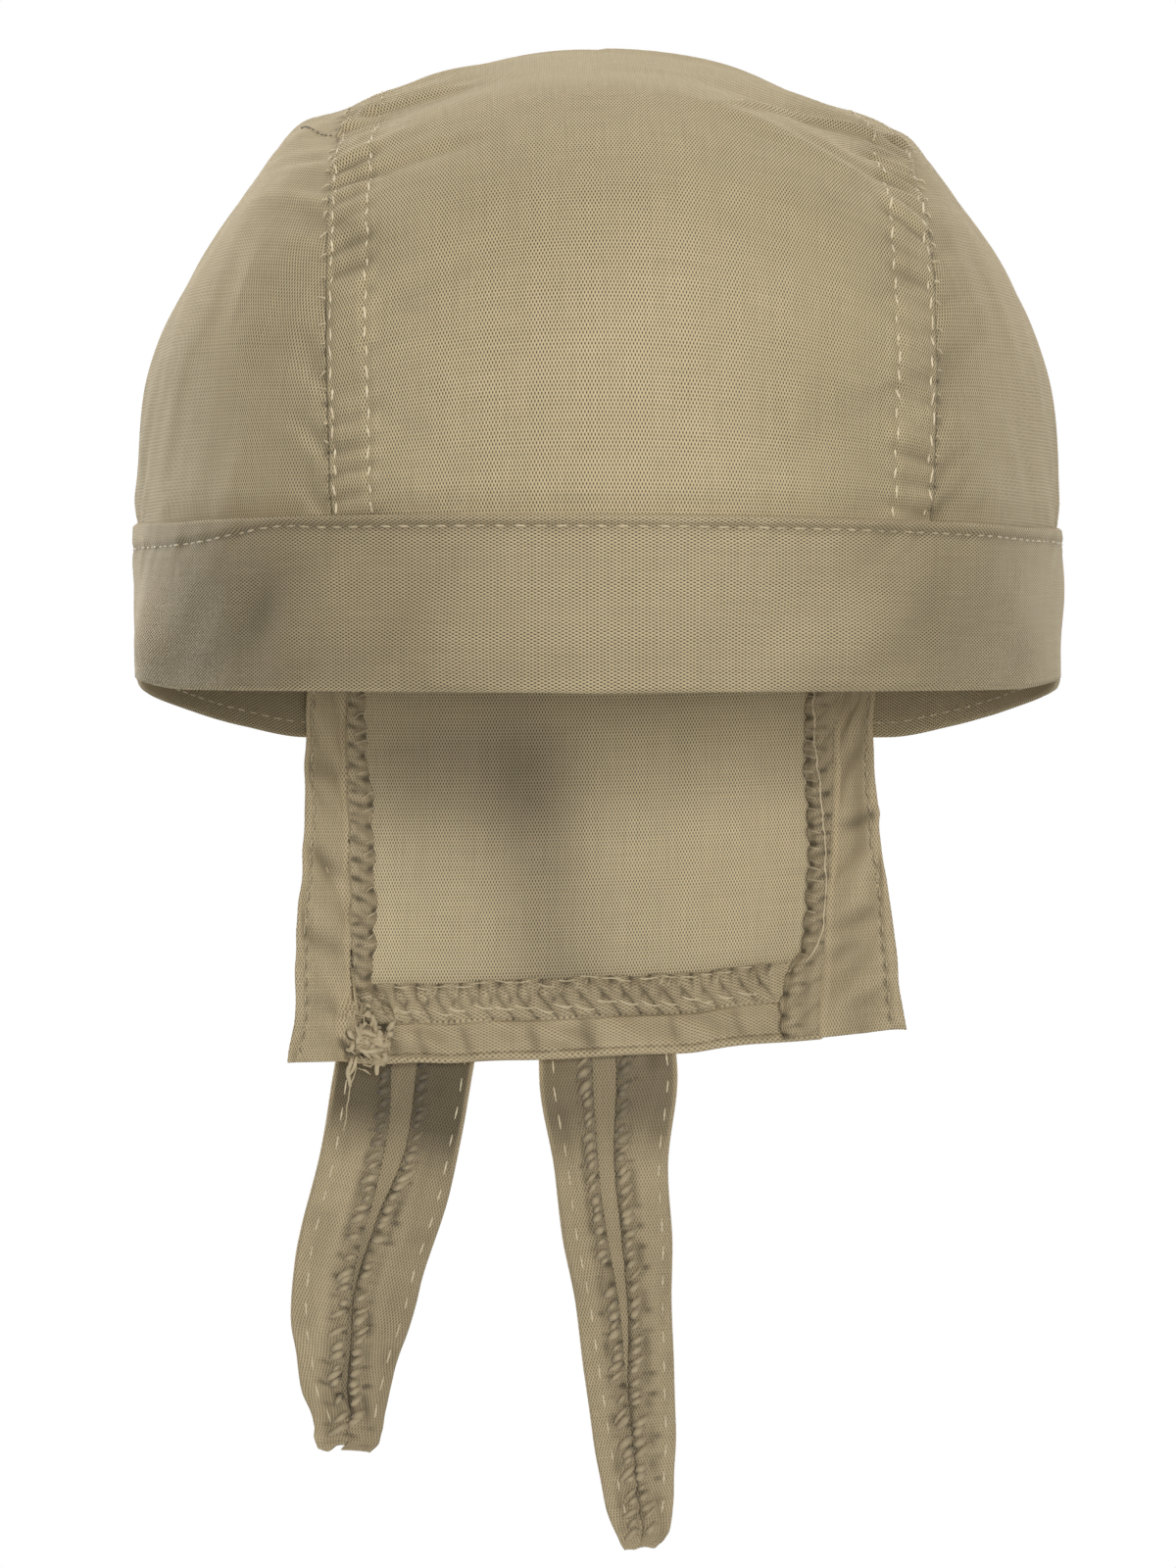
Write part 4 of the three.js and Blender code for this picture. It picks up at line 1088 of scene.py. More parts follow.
def tie_run(table):
    """Places of a tie's table and the length along the tie up to each."""
    places = np.linspace(0, len(table) - 1, 900)
    steps = np.hypot(np.diff(read(table, places, 1)), np.diff(read(table, places, 2)))
    return places, np.concatenate([[0], steps.cumsum()])


def painted_flap_shadow(x, z):
    """The flap's shadow painted on a tie where the flap hangs before it, more so further left."""
    middle = 0.26 + 0.48 * smoothstep(x, -0.003, 0.003) - 0.28 * smoothstep(x, 0.005, 0.010)
    return mix(middle, 1, smoothstep(-x, 0.010, 0.032)) * smoothstep(z, -0.094, -0.079)


def tie_place(table, seed, shades):
    """A tie's shape and painted shade as functions of the share across its cloth and its place in the
    table. shades gives the shade painted on its right half, and on its channel higher up and low down."""
    right_dark, channel_dark, low_dark = shades
    run_places, run = tie_run(table)

    def side_at(path, place):
        """How far out from the tie's middle the cloth lies: the folds and raw edges both wander."""
        width = read(table, place, 4) * (1 + 0.07 * rumple(path * 0, place, 1, 0.7, seed + 8))
        share = read(TIE_PATH, path, 1)
        way = np.where(path > 0.5, 1, -1)
        near_raw = 1 - smoothstep(np.minimum(path, 1 - path), 0.02, 0.20)
        closing = 0.05 + 0.15 * smoothstep(place, len(table) - 7, len(table) - 3.5)
        share = share + near_raw * (0.12 * rumple(way, place, 0.31, 0.8, seed + 9) - closing * way)
        sway = 0.0005 * rumple(path * 0, place, 1, 1.3, seed + 10) * smoothstep(place, 8, 10)
        return share * width / 2 + sway, width

    def relief(path, place):
        side, width = side_at(path, place)
        along = np.interp(place, run_places, run)
        hem = 1 - smoothstep(np.minimum(path, 1 - path), 0.225, 0.25)
        from_raw = np.minimum(path, 1 - path) / TIE_HEM * (TIE_FOLDED - TIE_CHANNEL) * width / 2
        tight = smoothstep(width, 0.006, 0.018)
        slant = np.where(path > 0.5, 0.4, -0.4)
        height, dark = overlocked(from_raw, along, seed, slant, TIE_NEEDLE_ROW)
        # Painted shade in the crevice beside each raw edge, at a tear near the tip, in the needle valley
        # and holes, over the rope and in the puckers' hollows.
        crevice = bump(from_raw, 0.0008) * (0.7 + 0.3 * rumple(path, along, 0.4, 0.004, seed + 11))
        torn = 0.6 * bump(place - len(table) + 3.6, 1.2) * (path > 0.5)
        crevice = crevice * np.where(path > 0.5, 0.95, 0.7)
        dark = np.maximum(dark, crevice + torn * bump(from_raw, 0.0013))
        uneven = 0.5 + 0.5 * rumple(path, along, 0.4, 0.0024, seed + 13)
        valley = bump(from_raw - TIE_NEEDLE_ROW, 0.0007) * uneven
        apart = 0.0004 + 0.0004 * rumple(path, along, 0.4, 0.0042, seed + 14)
        holes = bump(from_raw - TIE_NEEDLE_ROW - apart, 0.0007)
        holes = holes * bump(np.sin(np.pi * along / NEEDLE_PITCH), 0.5)
        holes = holes * smoothstep(rumple(path, along, 0.4, 0.005, seed + 15), -0.5, 0.5)
        dark = np.maximum(dark, np.maximum(0.8 * valley, 0.95 * holes))
        in_rope = smoothstep(from_raw, 0.0, 0.0005) * (1 - smoothstep(from_raw, 0.0020, 0.0028))
        dark = np.maximum(dark, 0.34 * in_rope)
        outer = smoothstep(from_raw, 0.004, 0.006)
        puckers = rumple(side, along, 0.006, 0.005, seed + 4) * outer
        rows = 0.00030 * bump(width / 2 - np.abs(side) - tie_inset(side), 0.0006)
        gathers = 1 - smoothstep(width, 0.015, 0.024)
        phase = 3 * rumple(side, along, 0.03, 0.02, seed)
        pleats = 0.0006 * gathers * np.cos(2 * np.pi * side / 0.0033 + phase)
        pleats = pleats * (place < TIE_LAST_FOLD)
        flap_shadow = painted_flap_shadow(read(table, place, 1), read(table, place, 2))
        shade = np.maximum(dark * tight, flap_shadow) + 0.2 * np.maximum(-puckers, 0)
        top = height * tight + 0.0005 * puckers - rows
        # Painted shade on the channel, the flap's painted shadow, and painted shade on the right half.
        channel = mix(channel_dark, low_dark, smoothstep(place, 11.5, 13.5)) * bump(path - 0.5, 0.10)
        channel = channel + 0.5 * flap_shadow * bump(path - 0.5, 0.12)
        right_half_shade = right_dark * smoothstep(side, 0.0010, 0.0080) * (1 - 0.7 * flap_shadow)
        return hem * top + (1 - hem) * (0.00015 * puckers + pleats), mix(channel, shade, hem) + right_half_shade

    def point_at(path, place):
        x, z, heading = read(table, place, 1), read(table, place, 2), np.radians(read(table, place, 3))
        off, free = read(table, place, 5), read(table, place, 6)
        height, _ = relief(path, place)
        side, _ = side_at(path, place)
        up = read(TIE_PATH, path, 2)
        raised = height * mix(0.5, 1, free)
        thick = TIE_THICK * up + np.where(up > 0.5, raised, -height)
        soft = 0.0012 * rumple(side, place, 0.016, 1.6, seed + 7) * free
        near_tip = smoothstep(place, len(table) - 2.2, len(table) - 1)
        cut = 0.0013 * near_tip * rumple(side, path, 0.0024, 0.9, seed + 12)
        px, pz = x - np.sin(heading) * side, z + np.cos(heading) * side + cut
        near = off + TIE_THICK - thick + soft
        lying = flap_point(px, np.maximum(pz, FLAP_BOTTOM_RIGHT), -near)
        hanging = np.stack([px, TIE_HANG_Y + TIE_THICK - thick + soft, pz], axis=-1)
        point = mix(lying, hanging, free[..., None])
        point[..., 2] = mix(lying[..., 2], pz, smoothstep(free, 0, 0.2))
        return point

    def dark_at(path, place):
        return np.clip(relief(path, place)[1], 0, 1)

    return point_at, dark_at


tie_cloth = cotton("khaki cotton of the ties", (0.55, 0.446, 0.277), (0.46, 0.37, 0.227),
                   hole=0.55)


def sew_tie(name, table, node, seed, shades):
    point_at, dark_at = tie_place(table, seed, shades)
    hem = np.concatenate([
        np.linspace(0, 0.11, 18), np.linspace(0.12, 0.23, 9), np.linspace(TIE_HEM, 0.30, 5),
    ])
    columns = np.concatenate([hem, np.linspace(0.33, 0.67, 13), 1 - hem[::-1]])
    lying = np.linspace(0, 9, 110, endpoint=False)
    places = np.concatenate([lying, np.linspace(9, len(table) - 1, 350)])
    piece = cut_cloth(name, columns, places, point_at, tie_cloth, thick=STRIP_THICK, dark_at=dark_at)
    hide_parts(node)
    return point_at


# The last three numbers are the shade painted on each tie's right half, and on its channel higher up and
# low down.
left_tie = sew_tie("tie_cloth_left", TIE_LEFT, "tie_left", 151, (0.04, 0.04, 0.0))
right_tie = sew_tie("tie_cloth_right", TIE_RIGHT, "tie_right", 161, (0.32, 0.12, 0.55))
TIES = (("left", left_tie, TIE_LEFT), ("right", right_tie, TIE_RIGHT))


# Knot: the two ties cross once and pull tight, so their gathered cloth makes a soft lump with one
# turn lying over the other.
KNOT_X = -0.013
KNOT_Z = 0.0074
KNOT_OFF = 0.0051
KNOT_LOWEST = 0.0042


def knot_turn(tilt, span, rise, width, seed):
    """A gathered turn of a tie that goes over the knot, at a tilt in the plane of the cloth."""
    lean = math.radians(tilt)

    def point_at(across, angle):
        swing = np.radians(angle)
        pinch = mix(0.62, 1.0, np.cos(swing * 0.8) ** 2)
        side = across * width / 2 * pinch
        pleats = 0.0007 * np.cos(across * 9.5 + 2.2 * rumple(across, angle, 0.9, 50, seed))
        crown = rise * (1 - 0.22 * across**2) + pleats * (1 - across**2)
        run = span * np.sin(swing)
        out = KNOT_OFF + crown * np.cos(swing) + 0.0004 * rumple(across, angle, 0.5, 24, seed + 1)
        x = KNOT_X + run * math.cos(lean) - side * math.sin(lean)
        z = KNOT_Z + run * math.sin(lean) + side * math.cos(lean)
        return flap_point(x, z, -np.maximum(out, KNOT_LOWEST))

    return point_at


for name, turn_at, flat_width in (
    ("knot_cloth", knot_turn(118, 0.0105, 0.0096, 0.021, 171), 0.026),
    ("knot_turn_cloth", knot_turn(42, 0.0112, 0.0118, 0.0135, 181), 0.017),
):
    turn_piece = cut_cloth(name, np.linspace(-1, 1, 40), np.linspace(-105, 105, 90), turn_at,
                           facing_cloth, thick=0.0006, turned=True)
    if name == "knot_cloth":
        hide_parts("knot")


# Stitches: cotton thread, pale on the crown and khaki or dark elsewhere. Each stitch is a short
# float that dips into the cloth at both ends.
def sewing_thread(name, light, dark):
    material, tree, shader = new_material(name)
    colour, place = dyed_colour(tree, light, dark, patch=420.0)
    tree.links.new(darkened_by_painted_shade(tree, colour), shader.inputs["Base Color"])
    twist = add_node(tree, "ShaderNodeTexWave", {"Scale": 900.0, "Distortion": 2.0},
                     bands_direction="DIAGONAL")
    tree.links.new(place.outputs["Object"], twist.inputs["Vector"])
    raised = add_node(tree, "ShaderNodeBump", {"Height": twist.outputs["Fac"], "Strength": 0.5})
    raised.inputs["Distance"].default_value = 0.00005
    tree.links.new(raised.outputs["Normal"], shader.inputs["Normal"])
    shader.inputs["Roughness"].default_value = 0.7
    shader.inputs["Sheen Weight"].default_value = 0.2
    return material


pale_thread = sewing_thread("pale sewing thread", (0.80, 0.69, 0.49), (0.60, 0.505, 0.335))
khaki_thread = sewing_thread("khaki sewing thread", (0.62, 0.52, 0.34), (0.44, 0.355, 0.215))
loop_thread = sewing_thread("overlock thread", (0.60, 0.495, 0.318), (0.44, 0.355, 0.215))
chain_thread = sewing_thread("overlock needle thread", (0.72, 0.61, 0.41), (0.54, 0.445, 0.28))
dark_thread = sewing_thread("dark khaki sewing thread", (0.27, 0.217, 0.13), (0.19, 0.152, 0.09))
rope_thread = sewing_thread("bunched overlock thread", (0.49, 0.398, 0.247), (0.38, 0.305, 0.183))
THREAD = 0.00031
TOWARDS_HEAD = (0, -1, 0)
TOWARDS_BACK = (0, 1, 0)


def surface_line(point_at, across, along, facing=None):
    """Points, ways along and outward normals of a line on a sheet. facing is a way that the
    normals point along, for a line on a sheet's wrong side."""
    points = point_at(across, along)
    ways = np.gradient(points, axis=0)
    ways /= np.linalg.norm(ways, axis=1, keepdims=True)
    small = 0.002 * (np.ptp(across) + 1)
    sideways = point_at(across + small, along) - point_at(across - small, along)
    normals = np.cross(sideways, ways)
    normals /= np.linalg.norm(normals, axis=1, keepdims=True)
    if facing is not None and (normals @ np.array(facing)).mean() < 0:
        normals = -normals
    return points, ways, normals


def thread_piece(name, bm, material):
    for face in bm.faces:
        face.smooth = True
    bmesh.ops.recalc_face_normals(bm, faces=bm.faces)
    piece = piece_of(name, bm, material)
    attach(piece, "root")
    return piece


def sew_rows(name, lines, material=pale_thread, pitch=0.0036, length=0.0030,
             seed=5, thread=THREAD):
    """Rows of stitches along lines of points, ways and normals, joined in one piece."""
    dice = np.random.default_rng(seed)
    bm = bmesh.new()
    for points, ways, normals in lines:
        steps = np.linalg.norm(np.diff(points, axis=0), axis=1)
        run = np.concatenate([[0], steps.cumsum()])
        for at in np.arange(pitch * 0.6, run[-1] - pitch * 0.4, pitch):
            at = at + dice.uniform(-0.0002, 0.0002)
            point, way, normal = (
                Vector([np.interp(at, run, column) for column in part.T])
                for part in (points, ways, normals)
            )
            side = normal.cross(way).normalized()
            way = (way + side * dice.uniform(-0.07, 0.07)).normalized()
            side = normal.cross(way).normalized()
            thick = thread * dice.uniform(0.85, 1.15)
            size = (length * dice.uniform(0.8, 1.05) / 2, thick * 0.6, thick * 0.5)
            place = Matrix.Identity(4)
            for column, (axis, scale) in enumerate(zip((way, side, normal), size)):
                place.col[column] = (*(axis * scale), 0)
            place.col[3] = (*(point + normal * thick * 0.3), 1)
            bmesh.ops.create_uvsphere(bm, u_segments=6, v_segments=5, radius=1, matrix=place)
    return thread_piece(name, bm, material)


# Over the folds at both shoulders the rows sink into the cloth, and only khaki thread shows there.
FOLD_END = 0.160
stations = np.linspace(0.0005, CROWN_LENGTH + 0.006, 1400)
fold_rows = []
for word, side in (("left", -1), ("right", 1)):
    rows = []
    for inset in (OUTER_ROW, INNER_ROW):
        share = inset / panel_width(stations)
        shares = share if side < 0 else 1 - share
        fold = 0.0860 if inset == OUTER_ROW else 0.0975 - 0.002 * side
        for part in (stations < fold, stations > FOLD_END):
            rows.append(surface_line(panel_point, shares[part], stations[part]))
        part = (stations > fold) & (stations < FOLD_END)
        fold_rows.append(surface_line(panel_point, shares[part], stations[part]))
    sew_rows(f"crown_stitches_{word}", rows, seed=5 + side)
sew_rows("shoulder_stitches", fold_rows, khaki_thread, seed=8)

# The headband has a khaki row under its roll, and the stitches' other side shows on its inner face.
BAND_OUTSIDE = np.linspace(0.08, 0.5, 200)
BAND_INSIDE = np.linspace(0.56, 1, 90)
angles = np.linspace(-band_end + 0.5, band_end - 0.5, 1400)
row_down = read(ROLL_ROW, angles, 1)
heights = band_top(angles) - read(BAND_EDGES, np.abs(angles), RIM)
row_path = np.interp(row_down / heights, 1 - read(BAND_PATH, BAND_OUTSIDE, 1), BAND_OUTSIDE)
inner_path, rim_path = np.interp([0.86, 0.10], read(BAND_PATH, BAND_INSIDE, 1), BAND_INSIDE)
sew_rows("headband_stitches", [surface_line(band_point, row_path, angles)], khaki_thread,
         length=0.0026, seed=9)
inner_rows = []
for part, facing, paths in (
    (angles < -90, TOWARDS_HEAD, (inner_path, rim_path)),
    (abs(angles) < 90, TOWARDS_BACK, (inner_path,)),
    (angles > 90, TOWARDS_HEAD, (inner_path, rim_path)),
):
    for row in paths:
        inner_rows.append(surface_line(band_point, row + 0 * angles[part], angles[part], facing))
sew_rows("headband_inner_stitches", inner_rows, khaki_thread, seed=10)

# The short cross seam on the crown's left shoulder is a line of small dark stitches that leaves
# the panel's edge.
CROSS_SEAM = 0.0088
UPWARDS = (0, 0, 1)
cross_past = np.linspace(0.0008, CROSS_SEAM, 60)
cross_turn = 56 + 13.5 * (cross_past / CROSS_SEAM) ** 1.6
cross_row = surface_line(left_side_line, cross_past, cross_turn, UPWARDS)
sew_rows("cross_seam_stitches", [cross_row], dark_thread, pitch=0.0020, length=0.0012, seed=16,
         thread=0.00048)

# Each flap border has a row 1.5 to 2 mm inside its free edge and the hem one 2 mm above its edge.
# They go through both layers, so they show on both faces. The values are shares of a strip's path.
BORDER_ROW, BORDER_ROW_BEHIND = 0.417, 0.275
HEM_ROW, HEM_ROW_BEHIND, HEM_NEEDLE_ROW = 0.452, 0.250, 0.925
down = np.linspace(0.01, 0.99, 500)
hem_x = np.linspace(FLAP_EDGES[0, SEAM_LEFT] + 0.001, FLAP_EDGES[0, SEAM_RIGHT] - 0.001, 600)
border_rows = []
for border in (left_border, right_border):
    border_rows.append(surface_line(border, BORDER_ROW + 0 * down, down, TOWARDS_HEAD))
    border_rows.append(surface_line(border, BORDER_ROW_BEHIND + 0 * down, down, TOWARDS_BACK))
border_rows.append(surface_line(hem_point, HEM_ROW + 0 * hem_x, hem_x, TOWARDS_HEAD))
border_rows.append(surface_line(hem_point, HEM_ROW_BEHIND + 0 * hem_x, hem_x, TOWARDS_BACK))
sew_rows("flap_stitches", border_rows, khaki_thread, STITCH_PITCH, 0.0027, seed=14)
between = hem_x[40:-40]
needle_row = surface_line(hem_point, HEM_NEEDLE_ROW + 0 * between, between, TOWARDS_HEAD)
sew_rows("hem_needle_row", [needle_row], pale_thread, 0.0043, 0.0030, seed=15)


def tie_row(tie, table, side, is_outer):
    """A row of stitches beside one fold of a tie, on the face away from the head if is_outer."""
    places = np.linspace(8.3, len(table) - 2.6, 700)
    half = read(table, places, 4) / 2
    share = 1 - tie_inset(side) / half
    if is_outer:
        path, facing = np.interp(share, [0, TIE_FOLDED], [0.5, 0.70]), TOWARDS_BACK
    else:
        path, facing = np.interp(share, [TIE_CHANNEL, TIE_FOLDED], [1, 1 - TIE_HEM]), TOWARDS_HEAD
    return surface_line(tie, path if side > 0 else 1 - path, places, facing)


for word, tie, table in TIES:
    rows = [tie_row(tie, table, side, outer) for side in (-1, 1) for outer in (False, True)]
    sew_rows(f"tie_stitches_{word}", rows, pitch=0.0056, length=0.0036, seed=17)


# Overlock and seam threads: the pale loops that lie over each raw edge from its needle row, long
# ends that have come loose, and short ends beside the crown's turned edges.
def thread_run(bm, points, normals, thick, shade=0.0):
    """A thread along points, made as a narrow grid rolled into a tube. It thins towards its ends.
    normals is one way out of the cloth, or one for each point, and shade is the shade painted on it."""
    painted_shade = bm.verts.layers.float.get("painted_shade") or bm.verts.layers.float.new("painted_shade")
    ways = np.gradient(points, axis=0)
    ways /= np.linalg.norm(ways, axis=1, keepdims=True)
    sides = np.cross(normals, ways)
    sides /= np.linalg.norm(sides, axis=1, keepdims=True)
    ups = np.cross(ways, sides)
    turns = np.linspace(0, 2 * np.pi, 6)
    radii = thick / 2 * (0.4 + 0.6 * np.sin(np.pi * np.linspace(0.05, 0.95, len(points))) ** 0.5)
    made = bmesh.ops.create_grid(bm, x_segments=5, y_segments=len(points) - 1, size=0.5)["verts"]
    for index, vert in enumerate(made):
        row, column = divmod(index, 6)
        turn = turns[column]
        vert.co = points[row] + radii[row] * (math.cos(turn) * sides[row] + math.sin(turn) * ups[row])
        vert[painted_shade] = shade


def loop_threads(name, edges, seed, thick, skipped, material, start=-0.0001):
    """Loops over raw edges. Each edge gives a way to find its points from the distance to the raw
    edge and the length along it, its range of lengths, its slant and the loops' reach."""
    dice = np.random.default_rng(seed)
    bm = bmesh.new()
    share = np.linspace(0, 1, 7)
    for point_at, first, last, slant, row in edges:
        for at in np.arange(first, last, LOOP_PITCH):
            if dice.random() < skipped:
                continue
            at = at + dice.uniform(-0.0006, 0.0006)
            reach = row * dice.uniform(0.6, 1.0)
            edge = mix(start, reach, share)
            along = at + slant * reach * dice.uniform(0.6, 1.3) * share ** 1.4
            points = point_at(edge, along)
            points[:, 1] -= thick * (0.35 + 0.6 * np.sin(np.pi * share))
            x, _, z = points[3]
            # Loops below the flap carry its painted shadow, the others a little painted shade.
            shade = float(painted_flap_shadow(x, z)) if z < FLAP_BOTTOM_LEFT else 0.1
            thread_run(bm, points, TOWARDS_HEAD, thick * dice.uniform(0.6, 1.3), shade)
    return thread_piece(name, bm, material)


ON_ALLOWANCE = np.linspace(0.77, 1, 60)


def border_edge(border, allowance):
    past = read(STRIP_PATH, ON_ALLOWANCE, 2)

    def point_at(edge, along):
        width = read(ALLOWANCES, along, allowance)
        path = np.interp(1 - edge / width, past, ON_ALLOWANCE)
        return border(path, (FLAP_TOP - along) / (FLAP_TOP - FLAP_BOTTOM_LEFT))

    return point_at


def hem_edge(edge, along):
    past = read(STRIP_PATH, ON_ALLOWANCE, 2) * HEM_ALLOWANCE
    return hem_point(np.interp(HEM_ALLOWANCE - edge, past, ON_ALLOWANCE), along)


def tie_edge(tie, table, side):
    run_places, run = tie_run(table)

    def point_at(edge, along):
        place = np.interp(along, run, run_places)
        path = TIE_HEM * edge / (read(table, place, 4) / 2) / (TIE_FOLDED - TIE_CHANNEL)
        return tie(1 - path if side > 0 else path, place)

    return point_at


flap_edges = [
    (border_edge(left_border, 1), -0.054, 0.004, -0.4, 0.0030),
    (border_edge(right_border, 2), -0.052, 0.004, -0.3, 0.0034),
    (hem_edge, -0.040, 0.038, -0.5, 0.0034),
]
loop_threads("flap_loop_threads", flap_edges, 21, 0.00042, 0.35, loop_thread)
# Ways out of the cloth for the long threads and for the tuft, tilted a little so that no thread
# runs quite along them.
CHAIN_FACING = (0.0, -1.0, 0.05)
TUFT_FACING = (0.05, -1.0, 0.03)


def hem_chain():
    """The overlock's long threads on the hem: a chain of shallow loops along its needle row, and a
    thread that wanders along the raw edge."""
    dice = np.random.default_rng(31)
    bm = bmesh.new()
    share = np.linspace(0, 1, 9)
    sag = np.sin(np.pi * share)
    for low, drop, thick in ((0.0047, 0.0011, 0.00040), (0.0003, 0.0003, 0.00030)):
        for at in np.arange(-0.0415, 0.0320, 0.0041):
            at = at + dice.uniform(-0.0006, 0.0006)
            along = at + 0.0043 * share * dice.uniform(0.85, 1.1)
            edge = low + drop * dice.uniform(0.4, 1.3) * (share + 0.5 * sag)
            edge = edge + 0.0003 * dice.normal(size=1)
            points = hem_edge(edge, along)
            points[:, 1] -= 0.0002 + 0.0005 * sag
            thread_run(bm, points, CHAIN_FACING, thick * dice.uniform(0.8, 1.2))
    return thread_piece("hem_chain_threads", bm, chain_thread)


def edge_hairs():
    """Short ends of the hidden seam's thread, which show at the nicks beside the turned edges."""
    dice = np.random.default_rng(35)
    bm = bmesh.new()
    share = np.linspace(0, 1, 6)
    for line_at in (left_side_line, right_side_line):
        for turn in np.arange(9, 50, 2.69):
            past = mix(-0.0001, dice.uniform(0.0009, 0.0018), share)
            turns = turn + dice.uniform(-0.5, 0.5) + share * dice.uniform(-0.6, 0.6)
            points = line_at(past, turns)
            outward = points - np.array([0, EAR_Y, EAR_Z])
            outward /= np.linalg.norm(outward, axis=1, keepdims=True)
            points = points + outward * 0.0003 * np.sin(np.pi * share)[:, None]
            thread_run(bm, points, outward, 0.00034 * dice.uniform(0.8, 1.2))
    return thread_piece("edge_hairs", bm, khaki_thread)


edge_hairs()
hem_chain()
RIGHT_THREAD = np.array([
    # height, distance from the raw edge
    (-0.0560, 0.0030), (-0.0458, 0.0038), (-0.0313, 0.0037), (-0.0186, 0.0029), (-0.0083, 0.0021),
    (0.0020, 0.0012),
])


def border_chain():
    """The overlock's needle thread on the right border, which has pulled loose and wanders."""
    dice = np.random.default_rng(33)
    bm = bmesh.new()
    edge_point = border_edge(right_border, 2)
    share = np.linspace(0, 1, 9)
    for at in np.arange(-0.0545, 0.0, 0.0044):
        along = at + 0.0048 * share
        edge = read(RIGHT_THREAD, along, 1) + 0.0003 * np.sin(np.pi * share) * dice.uniform(-1, 1)
        points = edge_point(edge, along)
        points[:, 1] -= 0.0002 + 0.0004 * np.sin(np.pi * share)
        thread_run(bm, points, CHAIN_FACING, 0.00036 * dice.uniform(0.8, 1.2))
    return thread_piece("border_chain_threads", bm, chain_thread)


border_chain()
for word, tie, table in TIES:
    run_places, run = tie_run(table)
    first, last = np.interp(9.7, run_places, run), run[-1] - 0.003
    edges = [(tie_edge(tie, table, side), first, last, -0.75 * side, TIE_NEEDLE_ROW) for side in (-1, 1)]
    loop_threads(f"tie_loop_threads_{word}", edges, 22 + len(word), 0.00130, 0.08, rope_thread,
                 start=0.0006)


# Frayed corner: the raw ends of three strips meet at the flap's lower left, and their yarns have
# worked loose in a tuft. Some hang below the hem.
def curled_thread(start, way, length, dice):
    """Points of a loose yarn that leaves start along way and curls as it goes."""
    count = 12
    bends = np.cumsum(dice.normal(0, 0.55, (count, 2)), axis=0) * 0.5
    steps = np.stack([
        way[0] + bends[:, 0],
        -0.35 + 0.5 * bends[:, 1],
        way[1] + 0.6 * bends[:, 1] - 0.2 * bends[:, 0],
    ], axis=1)
    steps[4:, 1] += 0.45
    steps /= np.linalg.norm(steps, axis=1, keepdims=True)
    return start + np.cumsum(steps, axis=0) * length / count


def frayed_tuft():
    """Curled tongues of cloth and twisted yarns over the lump, and four ends that hang below it."""
    dice = np.random.default_rng(77)
    bm = bmesh.new()
    for thick, longest, count in ((0.0011, 0.0046, 34), (0.00028, 0.0034, 60)):
        for _ in range(count):
            turn, out = dice.uniform(0, 2 * np.pi), dice.uniform(0.1, 1) ** 0.6
            x = FRAY_X + 0.0050 * out * math.cos(turn)
            z = FRAY_Z + 0.0085 * out * math.sin(turn)
            start = flap_point(np.array([x]), np.array([z]), 0.0024 + dice.uniform(0, 0.0012))[0]
            way = turn + dice.uniform(1.2, 2.6)
            length = longest * dice.uniform(0.5, 1)
            points = curled_thread(start, (math.cos(way), math.sin(way)), length, dice)
            points[:, 1] = np.minimum(points[:, 1], start[1] + 0.0002)
            thread_run(bm, points, TUFT_FACING, thick * dice.uniform(0.7, 1.3))
    for x, length, lean, thick in ((-0.0498, 0.0062, -0.25, 0.0009), (-0.0490, 0.0040, 0.1, 0.0007),
                                   (-0.0448, 0.0040, 0.5, 0.0010), (-0.0488, 0.0150, 0.02, 0.00026)):
        start = flap_point(np.array([x]), np.array([-0.0690]), 0.0028)[0]
        points = curled_thread(start, (lean, -2.2), length, dice)
        thread_run(bm, points, TUFT_FACING, thick)
    return thread_piece("frayed_threads", bm, loop_thread)


frayed_tuft()


# Floor, lights and camera: a white studio with soft lights in front, high up before and behind,
# and behind both sides, and a long lens at the height of the photograph's.
FLOOR_Z = -0.2


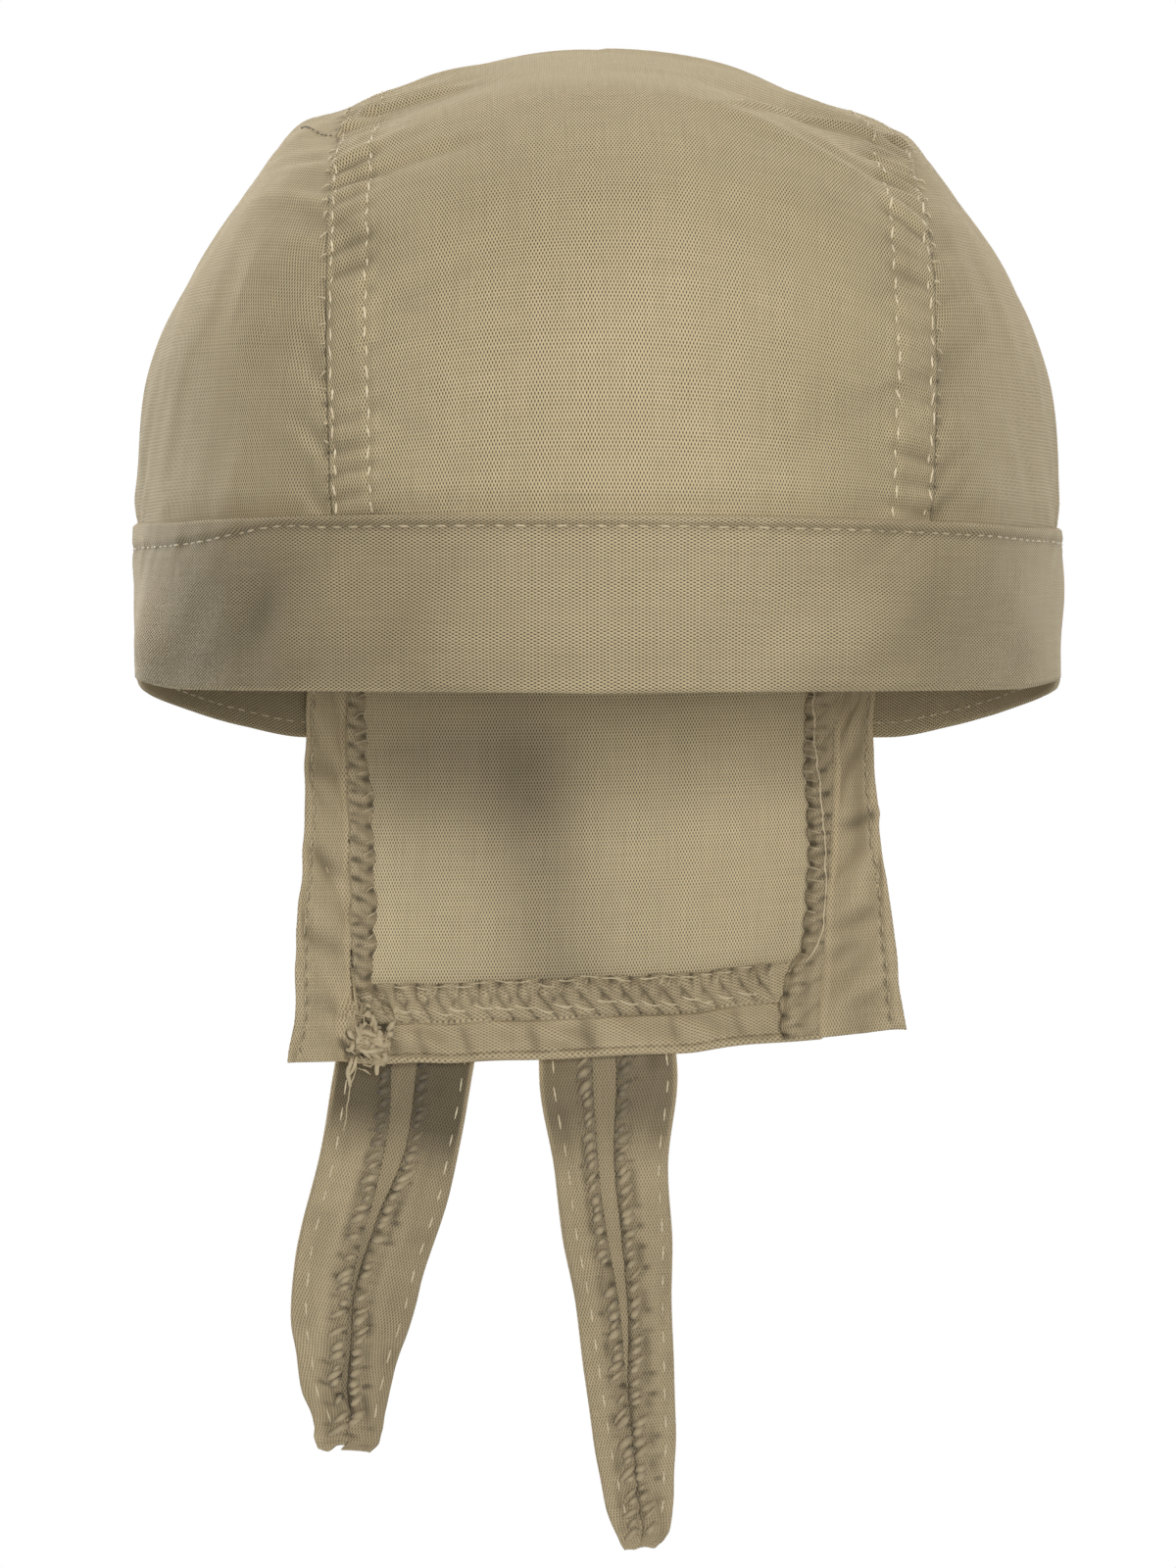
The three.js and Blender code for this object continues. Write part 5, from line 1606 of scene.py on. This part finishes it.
def white_stage():
    bm = bmesh.new()
    bmesh.ops.create_grid(bm, x_segments=1, y_segments=1, size=30)
    bmesh.ops.translate(bm, vec=(0, 0, FLOOR_Z), verts=bm.verts)
    material, tree, shader = new_material("white floor")
    shader.inputs["Base Color"].default_value = (0.35, 0.35, 0.35, 1)
    shader.inputs["Roughness"].default_value = 0.9
    glow = add_node(tree, "ShaderNodeEmission", {"Color": (1, 1, 1, 1), "Strength": 1.0})
    rays = add_node(tree, "ShaderNodeLightPath")
    seen = add_node(tree, "ShaderNodeMixShader")
    tree.links.new(rays.outputs["Is Camera Ray"], seen.inputs[0])
    tree.links.new(shader.outputs[0], seen.inputs[1])
    tree.links.new(glow.outputs[0], seen.inputs[2])
    tree.links.new(seen.outputs[0], tree.nodes["Material Output"].inputs["Surface"])
    piece_of("floor", bm, material)


def white_world(ambient):
    world = bpy.data.worlds.new("studio")
    world.use_nodes = True
    bpy.context.scene.world = world
    tree = world.node_tree
    background = tree.nodes["Background"]
    background.inputs["Color"].default_value = (1, 1, 1, 1)
    rays = add_node(tree, "ShaderNodeLightPath")
    strength = sum_up(tree, "MULTIPLY_ADD", rays.outputs["Is Camera Ray"], 1 - ambient, ambient)
    tree.links.new(strength, background.inputs["Strength"])


def softbox(name, place, size, power):
    """A broad light aimed at the middle of the cap's rim."""
    light = bpy.data.lights.new(name, "AREA")
    light.shape = "RECTANGLE"
    light.size, light.size_y = size
    light.energy = power
    lamp = bpy.data.objects.new(name, light)
    bpy.context.scene.collection.objects.link(lamp)
    lamp.location = place
    aim = Vector((0, 0, 0)) - Vector(place)
    lamp.rotation_euler = aim.to_track_quat("-Z", "Y").to_euler()
    lamp.visible_camera = False


white_stage()
white_world(0.05)
softbox("front softbox", (0.21, -1.9, 0.07), (0.55, 0.38), 25.2)
softbox("high softbox", (0, -1.1, 1.5), (0.9, 0.5), 12)
softbox("back softbox", (-0.1, 1.0, 1.5), (1.0, 0.6), 20)
softbox("left edge softbox", (-1.05, 1.3, 0.25), (0.6, 1.3), 42)
softbox("right edge softbox", (1.05, 1.3, 0.25), (0.6, 1.3), 27)

camera = bpy.data.cameras.new("camera")
camera.sensor_fit = "HORIZONTAL"
camera.sensor_width = 36
camera.lens = 230.58
camera.clip_end = 60
viewer = bpy.data.objects.new("camera", camera)
bpy.context.scene.collection.objects.link(viewer)
viewer.location = (-0.0019, -1.4, -0.0155)
viewer.rotation_euler = (math.radians(90), 0, 0)
bpy.context.scene.camera = viewer
bpy.context.scene.view_settings.view_transform = "Standard"
